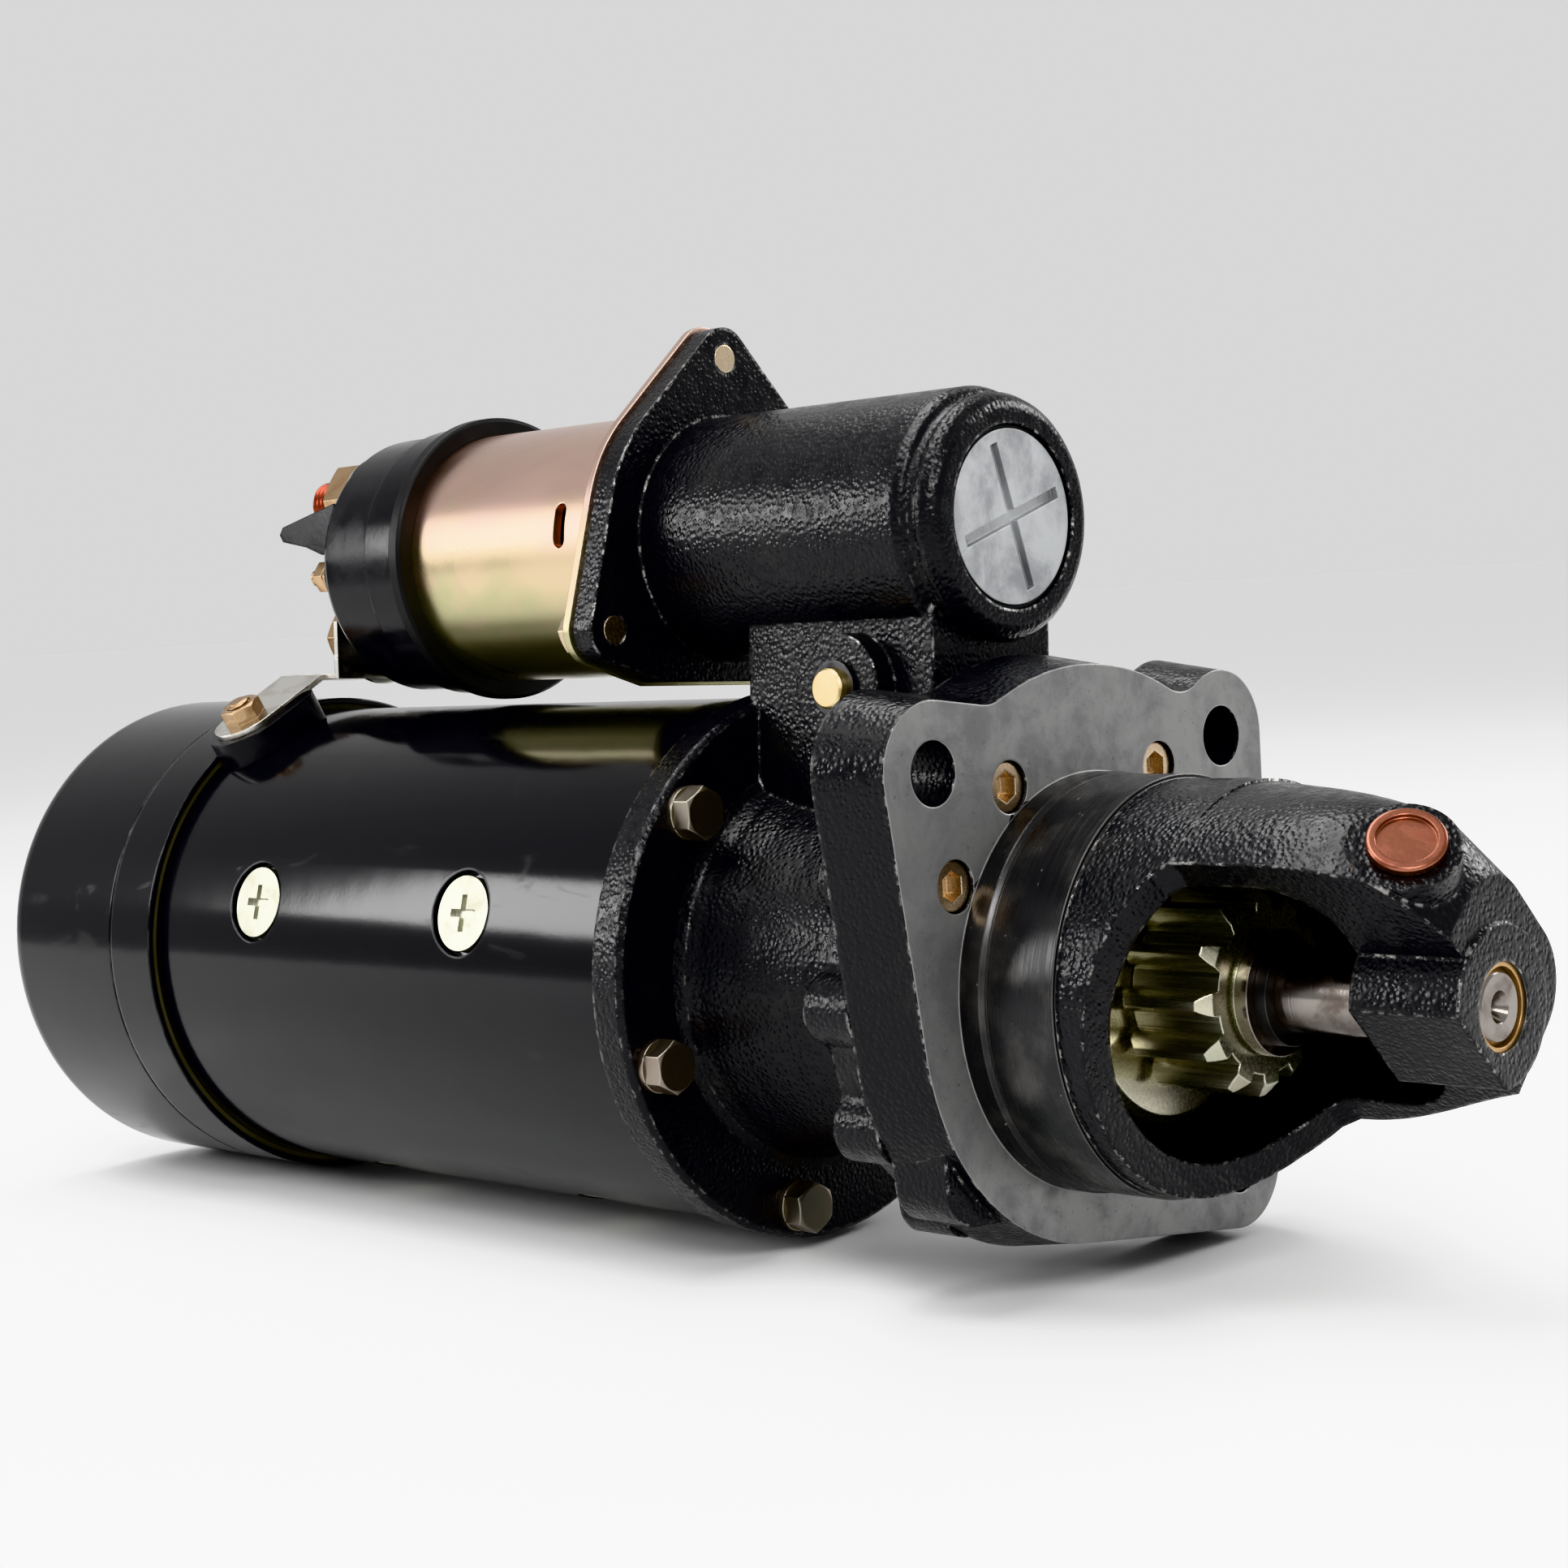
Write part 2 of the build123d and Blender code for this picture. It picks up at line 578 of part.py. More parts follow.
# ---------------------------------------------------------------- clutch and pinion
# Outer half of the overrunning clutch, with the sleeve that slides on the splined shaft.
with BuildPart() as clutch_shell:
    turn([
        (-78, SHAFT_SPLINE_R + RUNNING), (-78, SLEEVE_R), (-12, SLEEVE_R), (-12, 27), (-9, 29.5),
        (19.5, 29.5), (21.3, 27.7), (21.3, HUB_R + 0.5), (16.5, HUB_R + 0.5), (16.5, 23.6),
        (-6, 23.6), (-6, SHAFT_SPLINE_R + RUNNING),
    ])
write("clutch_shell", clutch_shell)

with BuildPart() as clutch_rollers:
    for index in range(6):
        rod(along(-5.6, 60 * index, 19.5), 3.9, 21.6)
write("clutch_rollers", clutch_rollers)

# Grooved collar that the lever pushes.
with BuildPart() as shift_collar:
    turn([
        (COLLAR_X - 8, SLEEVE_R), (COLLAR_X - 8, 25), (COLLAR_X - 4, 25), (COLLAR_X - 4, 20),
        (COLLAR_X + 4, 20), (COLLAR_X + 4, 25), (COLLAR_X + 8, 25), (COLLAR_X + 8, SLEEVE_R),
    ])
write("shift_collar", shift_collar)


def flank_point(radius):
    """Point of a tooth's involute flank at a radius, for a tooth along the x axis."""
    base = PITCH_R * cos(PRESSURE_ANGLE)
    slope = acos(min(1.0, base / radius))
    angle = pi / 2 / TEETH + tan(PRESSURE_ANGLE) - PRESSURE_ANGLE - tan(slope) + slope
    return (radius * cos(angle), radius * sin(angle))


def tooth_outline():
    """One involute tooth, pointing along the sketch's x axis."""
    base = PITCH_R * cos(PRESSURE_ANGLE)
    left = [flank_point(base + (TIP_R - base) * step / 4) for step in range(5)]
    right = [(x, -y) for x, y in left]
    inside = ROOT_R - 1
    with BuildSketch() as tooth:
        with BuildLine():
            Spline(*left)
            Line(left[-1], right[-1])
            Spline(*right)
            Polyline(left[0], (inside, left[0][1]), (inside, -left[0][1]), right[0])
        make_face()
    return tooth.sketch


# Drive pinion, with chamfered teeth and the clutch's inner hub behind it.
with BuildPart() as pinion:
    with BuildSketch(across(PINION_REAR)):
        Circle(ROOT_R)
        with PolarLocations(0, TEETH):
            add(tooth_outline())
    extrude(amount=PINION_FRONT - PINION_REAR)
    turn([
        (PINION_REAR, 0), (PINION_REAR, 20.6), (PINION_REAR + 1.4, TIP_R + 0.1),
        (PINION_FRONT - 2.6, TIP_R + 0.1), (PINION_FRONT, 19.4), (PINION_FRONT, 0),
    ], mode=Mode.INTERSECT)
    tube(PINION_FRONT, PINION_FRONT + 1, 12.4)
    tube(HUB_REAR, PINION_REAR, HUB_R)
    tube(HUB_REAR, PINION_REAR - 0.6, SHAFT_SPLINE_R + 0.4, mode=Mode.SUBTRACT)
    tube(HUB_REAR, PINION_FRONT + 1, SHAFT_NOSE_R + RUNNING, mode=Mode.SUBTRACT)
write("pinion", pinion)

with BuildPart() as pinion_collar:
    tube(PINION_FRONT + 1, PINION_FRONT + 4, 13.3, SHAFT_NOSE_R + RUNNING)
write("pinion_collar", pinion_collar)

with BuildPart() as pinion_stop_ring:
    tube(PINION_FRONT + 4, PINION_FRONT + 7, 11, SHAFT_NOSE_R + RUNNING)
write("pinion_stop_ring", pinion_stop_ring)


# ---------------------------------------------------------------- nose housing
def flange_outline(grow=0.0):
    """Three-eared mounting flange seen along the shaft: own x is +Y and own y is +Z."""
    ears = [(y, z, EAR_R + grow) for y, z in MOUNT_HOLES]
    with BuildSketch() as hump:
        Circle(69.5 + grow)
        with Locations((0, 40)):
            Rectangle(2 * HOLE_SQUARE, 80, mode=Mode.INTERSECT)
    with BuildSketch() as outline:
        add(hull_of(ears[0], (0, 0, 57.6 + grow), ears[2]))
        add(hull_of(ears[1], ears[2]))
        add(hump.sketch)
        notches = [v for v in outline.vertices() if v.Y > 50 and abs(v.X) < 45]
        fillet(notches, 11)
    return outline.sketch


def snout_outline(u_low, u_high, back, corner):
    """Snout seen along the shaft: flat on the open side, with two rounded corners behind."""
    with BuildSketch() as half:
        with Locations((-(u_low + u_high) / 2, (back - 1) / 2)):
            Rectangle(u_high - u_low, back + 1)
        fillet(half.vertices().group_by(Axis.Y)[-1], corner)
    return half.sketch


SNOUT = (
    (40, -44, 44.4, 44.3, 43.5),
    (60, -42, 44.3, 38.5, 37),
    (80, -33.5, 42.3, 30, 24),
    (91, -29, 37.8, 25.5, 16),
)
SNOUT_TIP = (BOSS_FRONT - 0.8, -17, 23, 21.5, 13)
# Where the snout ends on its open side, as (x, distance from the shaft's axis).
WINDOW = (
    (29.5, 45), (30.5, 36), (31.6, 30.7), (32.6, 26), (34.1, 21.4), (37.2, 13.6), (42.5, 3.6),
    (46, 1), (110, 1), (110, 60), (29.5, 60),
)
open_angle = radians(OPEN_SIDE)
WINDOW_PLANE = Plane(
    origin=(0, 0, 0), x_dir=(1, 0, 0), z_dir=(0, -sin(open_angle), cos(open_angle)),
)
WICK_PLANE = Plane(origin=WICK_CENTRE, z_dir=WICK_NORMAL)

# Hollow round the pinion and the clutch, rounded at its front.
with BuildPart() as cavity:
    tube(FLANGE_REAR, CAVITY_FRONT, SNOUT_BORE)
    fillet(cavity.edges().filter_by(GeomType.CIRCLE).sort_by(Axis.X)[-1], CAVITY_ROUNDING)

# Flange, machined pilot and the open snout that guards the pinion.
with BuildPart() as nose_housing:
    # flange, with draft and a lug at its lower corner
    with BuildSketch(across(FLANGE_REAR)):
        add(flange_outline(2.6))
    with BuildSketch(across(-1)):
        add(flange_outline())
    loft(ruled=True)
    with BuildSketch(across(-1)):
        add(flange_outline())
    extrude(amount=1)
    with BuildSketch(across(FLANGE_REAR)):
        add(hull_of((-40, -37.5, 9.5), (0, 0, 50)))
    extrude(amount=15)
    # pilot, groove, register and round part of the snout
    turn([
        (-1, 0), (-1, PILOT_R), (PILOT_LENGTH - 1, PILOT_R), (PILOT_LENGTH, PILOT_R - 0.8),
        (PILOT_LENGTH, 44.8), (PILOT_LENGTH + 0.7, 44.8), (PILOT_LENGTH + 0.7, 45.5),
        (REGISTER_FRONT, 45.5), (REGISTER_FRONT, SNOUT_R), (46, SNOUT_R), (46, 0),
    ])
    # guard behind the pinion
    for x, *shape in SNOUT:
        with BuildSketch(across(x, OPEN_SIDE + 90)):
            add(snout_outline(*shape))
    loft()
    for x, *shape in (SNOUT[-1], SNOUT_TIP):
        with BuildSketch(across(x, OPEN_SIDE + 90)):
            add(snout_outline(*shape))
    loft(ruled=True)
    # open side, cut square through the snout
    with BuildSketch(WINDOW_PLANE):
        with BuildLine():
            Polyline(*WINDOW, close=True)
        make_face()
    extrude(amount=60, both=True, mode=Mode.SUBTRACT)
    # bearing boss with its flat, and the pad for the oil wick
    with BuildSketch(across(CAVITY_FRONT - 2, OPEN_SIDE + 90)):
        Circle(BOSS_R)
        with Locations((0, -BOSS_FACET - 10)):
            Rectangle(60, 20, mode=Mode.SUBTRACT)
    extrude(amount=BOSS_FRONT - CAVITY_FRONT + 2)
    rod(WICK_PLANE, 11.5, 12, Mode.SUBTRACT)
    rod(WICK_PLANE, 10.6, -18)
    # bores
    add(cavity.part, mode=Mode.SUBTRACT)
    tube(CAVITY_FRONT, BOSS_FRONT, BUSH_R, mode=Mode.SUBTRACT)
    rod(WICK_PLANE, 4.0, -26, Mode.SUBTRACT)
    for y, z in MOUNT_HOLES:
        rod(Plane(origin=(0, y, z), z_dir=(1, 0, 0)), MOUNT_HOLE_R, FLANGE_REAR, Mode.SUBTRACT)
    for angle in NOSE_SCREW_ANGLES:
        with Locations(along(0, angle, NOSE_SCREW_R)):
            CounterBoreHole(3.4, 5.7, -NOSE_SCREW_SEAT, depth=20)
write("nose_housing", nose_housing)

# Socket-headed screws that hold the nose to the lever housing.
with BuildPart() as nose_screws:
    for angle in NOSE_SCREW_ANGLES:
        seat = along(NOSE_SCREW_SEAT, angle, NOSE_SCREW_R)
        rod(seat, 5.3, NOSE_SCREW_HEAD)
        rod(seat, NOSE_SHANK_R, -NOSE_SHANK)
        with BuildSketch(seat.offset(NOSE_SCREW_HEAD)):
            RegularPolygon(3.0, 6, major_radius=False)
        extrude(amount=-4, mode=Mode.SUBTRACT)
write("nose_screws", nose_screws)

with BuildPart() as nose_bush:
    tube(CAVITY_FRONT + 0.5, BOSS_FRONT - 0.6, BUSH_R, SHAFT_NOSE_R + RUNNING)
write("nose_bush", nose_bush)

# Pressed cap over the wick, dished inside a raised rim.
with BuildPart() as wick_cap:
    rod(WICK_PLANE, WICK_CAP_R, 2.4)
    rod(WICK_PLANE.offset(1.4), WICK_CAP_R - 1.9, 2, Mode.SUBTRACT)
    fillet(wick_cap.edges().filter_by(GeomType.CIRCLE).group_by(SortBy.RADIUS)[-1], 0.7)
write("wick_cap", wick_cap)

with BuildPart() as oil_wick:
    rod(WICK_PLANE, 3.8, -25)
write("oil_wick", oil_wick)

# ---------------------------------------------------------------- solenoid
# Front plate, the same shape as the housing's flange and a little larger.
with BuildPart() as solenoid_plate:
    with BuildSketch(lean_across(PLATE_BACK)):
        add(solenoid_outline(0.8))
        Circle(PLUNGER_R + 0.4, mode=Mode.SUBTRACT)
        add(solenoid_screw_holes(SOLENOID_HOLE_R), mode=Mode.SUBTRACT)
    extrude(amount=SOLENOID_FACE - PLATE_BACK)
write("solenoid_plate", solenoid_plate)

solenoid_head = hexagon(10, 5.5)
with BuildPart() as solenoid_screws:
    for angle in SOLENOID_SCREW_ANGLES:
        y = SCREW_CIRCLE * cos(radians(angle))
        z = SOLENOID_HEIGHT + SCREW_CIRCLE * sin(radians(angle))
        seat = lean_across(PLATE_BACK, y, z, -1)
        with Locations(seat):
            add(solenoid_head)
        rod(seat, 3.4, -9)
write("solenoid_screws", solenoid_screws)

# Steel can round the winding, with a small slot low on its side.
with BuildPart() as solenoid_case:
    tube(CASE_REAR, PLATE_BACK, CASE_R, CASE_R - 2.5, SOLENOID_LINE)
    with BuildSketch(lean_side(-138.8, -CASE_R + 6, SOLENOID_HEIGHT + 4.2)):
        SlotOverall(11, 4.2, rotation=90)
    extrude(amount=10, mode=Mode.SUBTRACT)
write("solenoid_case", solenoid_case)

with BuildPart() as coil_bobbin:
    tube(-197.4, -122, 18, PLUNGER_R + RUNNING, SOLENOID_LINE)
    tube(-197.4, -195.6, 29.6, PLUNGER_R + RUNNING, SOLENOID_LINE)
    tube(-123.8, -122, 29.6, PLUNGER_R + RUNNING, SOLENOID_LINE)
write("coil_bobbin", coil_bobbin)

with BuildPart() as solenoid_coil:
    tube(-195.6, -123.8, 28.4, 18, SOLENOID_LINE)
write("solenoid_coil", solenoid_coil)

# Iron core at the closed end of the winding, with a hole for the contact rod.
with BuildPart() as fixed_core:
    tube(CASE_REAR, -197.4, 29.8, 3.6, SOLENOID_LINE)
    tube(CASE_REAR, -179.4, PLUNGER_R, 3.6, SOLENOID_LINE)
write("fixed_core", fixed_core)

with BuildPart() as plunger:
    tube(PLUNGER_REAR, SPRING_COLLAR_X, PLUNGER_R, 0, SOLENOID_LINE)
    tube(SPRING_COLLAR_X, SPRING_COLLAR_X + 3, 21, 0, SOLENOID_LINE)
write("plunger", plunger)

# Rod on the front of the plunger, ending in a window that holds the lever's head.
with BuildPart() as plunger_link:
    tube(SPRING_COLLAR_X + 3, LINK_X - 9, 5, 0, SOLENOID_LINE)
    block(lean_across(LINK_X - 9.5), 17, 17, 19)
    block(lean_across(LINK_X - 5.4), 12.4, 30, 10.8, Mode.SUBTRACT)
write("plunger_link", plunger_link)

# Spring round the plunger, between the front plate and the plunger's collar.
SPRING_WIRE = 1.1
SPRING_TURNS = 6
SPRING_START = Vector(*leaning(SOLENOID_FACE + SPRING_WIRE + 0.1, 0, SOLENOID_HEIGHT))
SPRING_LENGTH = SPRING_COLLAR_X - SOLENOID_FACE - 2 * SPRING_WIRE - 0.2
with BuildPart() as return_spring:
    with BuildLine() as spring_path:
        Helix(SPRING_LENGTH / SPRING_TURNS, SPRING_LENGTH, 18.3, center=SPRING_START, direction=(1, 0, 0))
    with BuildSketch(Plane(origin=spring_path.line @ 0, z_dir=spring_path.line % 0)):
        Circle(SPRING_WIRE)
    sweep(is_frenet=True)
write("return_spring", return_spring)

with BuildPart() as contact_rod:
    tube(-214, PLUNGER_REAR, 3, 0, SOLENOID_LINE)
write("contact_rod", contact_rod)

with BuildPart() as contact_disc:
    tube(-212, -209.5, 25, 3, SOLENOID_LINE)
write("contact_disc", contact_disc)

# Rubber ring between the can and the cap.
with BuildPart() as cap_gasket:
    turn([
        (-201, CASE_R), (-201, 36.6), (-200.3, 37.3), (-197.2, 37.3), (-196.4, 36.5),
        (-196.4, CASE_R),
    ], SOLENOID_LINE)
write("cap_gasket", cap_gasket)

# Barrier between two of the terminals, as (x, height over the solenoid's axis).
BARRIER = (
    (CAP_END + 1, 16), (-250, 12.4), (-256.5, 11), (-258, 9), (-256.5, 7), (-246, 5), (-239, 2.6),
    (CAP_END + 1, 2.6),
)
BARRIER_Y = -30.0
BARRIER_WIDTH = 16.0

# Moulded cap that carries the terminals.
with BuildPart() as solenoid_cap:
    turn([
        (-201, 29), (-201, 35.5), (-213, 35.5), (-213, 34.5), (-231.5, 34.2), (-233.2, 33.4),
        (CAP_END, 32), (CAP_END, 0), (-229, 0), (-229, 29),
    ], SOLENOID_LINE)
    with BuildSketch(lean_across(CAP_END, STUD_Y)):
        with Locations((0, STUD_OFFSET), (0, -STUD_OFFSET)):
            Circle(11.5)
        Rectangle(14, 2 * STUD_OFFSET)
    extrude(amount=STUD_SEAT - CAP_END)
    rod(lean_across(CAP_END, SWITCH_Y, SWITCH_HEIGHT), 6.5, SWITCH_SEAT - CAP_END)
    with BuildSketch(lean_side(0, BARRIER_Y, SOLENOID_HEIGHT)):
        with BuildLine():
            Polyline(*BARRIER, close=True)
        make_face()
    extrude(amount=-BARRIER_WIDTH)
    for z in (STUD_OFFSET, -STUD_OFFSET):
        rod(lean_across(-225, STUD_Y, SOLENOID_HEIGHT + z), STUD_R + 0.05, -30, Mode.SUBTRACT)
    rod(lean_across(-225, SWITCH_Y, SWITCH_HEIGHT), 2.55, -30, Mode.SUBTRACT)
write("solenoid_cap", solenoid_cap)


def terminal_stud(z, tip):
    """Headed copper stud through the cap, from its contact face to its tip."""
    start = lean_across(CONTACT_FACE, STUD_Y, SOLENOID_HEIGHT + z)
    rod(start, STUD_R, tip - CONTACT_FACE)
    rod(start, 8.4, -5.9)


with BuildPart() as battery_stud:
    terminal_stud(STUD_OFFSET, -272)
    chamfer(battery_stud.faces().sort_by(Axis.X)[0].edges(), 1)
write("battery_stud", battery_stud)

with BuildPart() as motor_stud:
    terminal_stud(-STUD_OFFSET, -266)
    chamfer(motor_stud.faces().sort_by(Axis.X)[0].edges(), 1)
write("motor_stud", motor_stud)

stud_hexagon = hexagon(19, 11)
with BuildPart() as stud_nuts:
    for z in (STUD_OFFSET, -STUD_OFFSET):
        seat = lean_across(STUD_SEAT - STRAP, STUD_Y, SOLENOID_HEIGHT + z, -1)
        with Locations(seat):
            add(stud_hexagon)
        rod(seat, STUD_R + 0.02, 20, Mode.SUBTRACT)
write("stud_nuts", stud_nuts)

with BuildPart() as stud_washer:
    seat = lean_across(STUD_SEAT, STUD_Y, SOLENOID_HEIGHT + STUD_OFFSET, -1)
    rod(seat, 11, STRAP)
    rod(seat, STUD_R + 0.1, STRAP, Mode.SUBTRACT)
write("stud_washer", stud_washer)

# Small threaded terminal for the switch wire, and its nut.
with BuildPart() as switch_terminal:
    rod(lean_across(-226, SWITCH_Y, SWITCH_HEIGHT), 2.5, -24)
    rod(lean_across(-226, SWITCH_Y, SWITCH_HEIGHT), 4.9, -3)
write("switch_terminal", switch_terminal)

switch_hexagon = hexagon(8, 4)
with BuildPart() as switch_nuts:
    for x in (SWITCH_SEAT, SWITCH_SEAT - 4.2):
        seat = lean_across(x, SWITCH_Y, SWITCH_HEIGHT, -1)
        with Locations(seat):
            add(switch_hexagon)
        rod(seat, 2.52, 8, Mode.SUBTRACT)
write("switch_nuts", switch_nuts)

# ---------------------------------------------------------------- motor strap and terminal
BEND = 22.2  # from the field terminal to the bend, along the strap
# Tinned copper strap: a tab on the lower stud, a flat shelf and a slanting tongue.
with BuildPart() as motor_strap:
    with BuildSketch(lean_across(STUD_SEAT, STUD_Y, 0)):
        with Locations((0, (STRAP_Z + 88) / 2)):
            Rectangle(32, 88 - STRAP_Z)
        with Locations((0, SOLENOID_HEIGHT - STUD_OFFSET)):
            Circle(13)
            Circle(STUD_R + 0.2, mode=Mode.SUBTRACT)
    extrude(amount=-STRAP)
    block(lean_across(STRAP_REAR, -2.45, STRAP_Z + STRAP / 2), 30.9, STRAP, STUD_SEAT - STRAP_REAR)
    with BuildSketch(radial(TERMINAL_X, TERMINAL_ANGLE, TERMINAL_SEAT)):
        Circle(9.5)
        with Locations((0, BEND / 2)):
            Rectangle(19, BEND)
        Circle(3.7, mode=Mode.SUBTRACT)
    extrude(amount=STRAP)
write("motor_strap", motor_strap)

# Moulded pad between the strap and the frame, with a collar through the frame's wall.
with BuildPart() as terminal_insulator:
    with BuildSketch(radial(TERMINAL_X, TERMINAL_ANGLE, TERMINAL_SEAT)):
        add(hull_of((0, 0, 12), (-6, BEND - 10, 6), (6, BEND - 10, 6)))
    extrude(amount=-14)
    tube(FRAME_REAR, FRAME_FRONT, FRAME_R + 0.05, mode=Mode.SUBTRACT)
    tube(CAP_REAR, CAP_FRONT + 0.1, CAP_R + 0.1, mode=Mode.SUBTRACT)
    rod(radial(TERMINAL_X, TERMINAL_ANGLE, 58), 5.0, 8)
    rod(radial(TERMINAL_X, TERMINAL_ANGLE, 57), 3.6, 20, Mode.SUBTRACT)
write("terminal_insulator", terminal_insulator)

with BuildPart() as field_terminal:
    rod(radial(TERMINAL_X, TERMINAL_ANGLE, 51.5), 3.5, 26.6)
write("field_terminal", field_terminal)

terminal_hexagon = hexagon(10, 4.5)
with BuildPart() as field_terminal_nut:
    seat = radial(TERMINAL_X, TERMINAL_ANGLE, TERMINAL_SEAT + STRAP)
    with Locations(seat):
        add(terminal_hexagon)
    rod(seat, 3.52, 8, Mode.SUBTRACT)
write("field_terminal_nut", field_terminal_nut)
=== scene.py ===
"""Looks of the starter motor: materials, threaded terminals, return spring, floor, light and camera."""
from math import cos, pi, radians, sin

import bpy
from mathutils import Matrix, Vector


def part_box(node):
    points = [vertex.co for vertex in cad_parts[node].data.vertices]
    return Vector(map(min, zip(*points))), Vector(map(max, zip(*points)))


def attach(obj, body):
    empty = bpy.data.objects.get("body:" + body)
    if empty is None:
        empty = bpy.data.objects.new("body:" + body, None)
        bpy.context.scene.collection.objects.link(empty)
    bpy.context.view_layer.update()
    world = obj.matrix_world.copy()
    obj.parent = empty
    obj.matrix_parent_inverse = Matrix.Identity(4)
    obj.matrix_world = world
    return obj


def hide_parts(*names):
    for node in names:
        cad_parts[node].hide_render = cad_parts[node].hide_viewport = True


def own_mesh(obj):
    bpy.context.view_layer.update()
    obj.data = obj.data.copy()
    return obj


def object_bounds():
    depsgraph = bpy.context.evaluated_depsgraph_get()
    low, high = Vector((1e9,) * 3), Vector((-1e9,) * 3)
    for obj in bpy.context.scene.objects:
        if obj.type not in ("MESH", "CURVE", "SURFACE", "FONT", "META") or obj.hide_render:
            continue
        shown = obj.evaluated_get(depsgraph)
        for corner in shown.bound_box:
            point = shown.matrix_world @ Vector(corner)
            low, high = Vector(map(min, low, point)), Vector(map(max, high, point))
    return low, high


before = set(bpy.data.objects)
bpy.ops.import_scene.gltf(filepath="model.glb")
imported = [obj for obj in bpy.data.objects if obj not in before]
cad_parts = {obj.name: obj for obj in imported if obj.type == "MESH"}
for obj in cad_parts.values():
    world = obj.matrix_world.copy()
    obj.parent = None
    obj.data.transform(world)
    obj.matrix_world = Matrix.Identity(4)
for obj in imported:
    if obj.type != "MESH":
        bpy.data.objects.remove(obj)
cad_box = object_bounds()
MM = 0.001

# Stretch of a grain along each axis: a small number makes long marks that way.
EVEN = (1, 1, 1)
ROUND_X = (1, 0.02, 0.02)
ALONG_X = (0.03, 1, 1)


# ---------------------------------------------------------------- camera
CAMERA_PLACE = Vector((0.38717, -0.48428, 0.08834))
CAMERA_RIGHT = Vector((0.70632, 0.70513, -0.06243))
CAMERA_FORWARD = Vector((-0.70761, 0.70079, -0.09044))
CAMERA_LENS = 65.02
CAMERA_SHIFT = (0.0140, 0.0449)


def make_camera():
    """Camera at the photograph's place and direction."""
    data = bpy.data.cameras.new("camera")
    data.sensor_width = 36
    data.lens = CAMERA_LENS
    data.shift_x, data.shift_y = CAMERA_SHIFT
    data.clip_start = 0.01
    camera = bpy.data.objects.new("camera", data)
    bpy.context.scene.collection.objects.link(camera)
    forward = CAMERA_FORWARD.normalized()
    right = CAMERA_RIGHT.normalized()
    up = right.cross(forward)
    axes = Matrix((right, up, -forward)).transposed().to_4x4()
    camera.matrix_world = Matrix.Translation(CAMERA_PLACE) @ axes
    bpy.context.scene.camera = camera


make_camera()


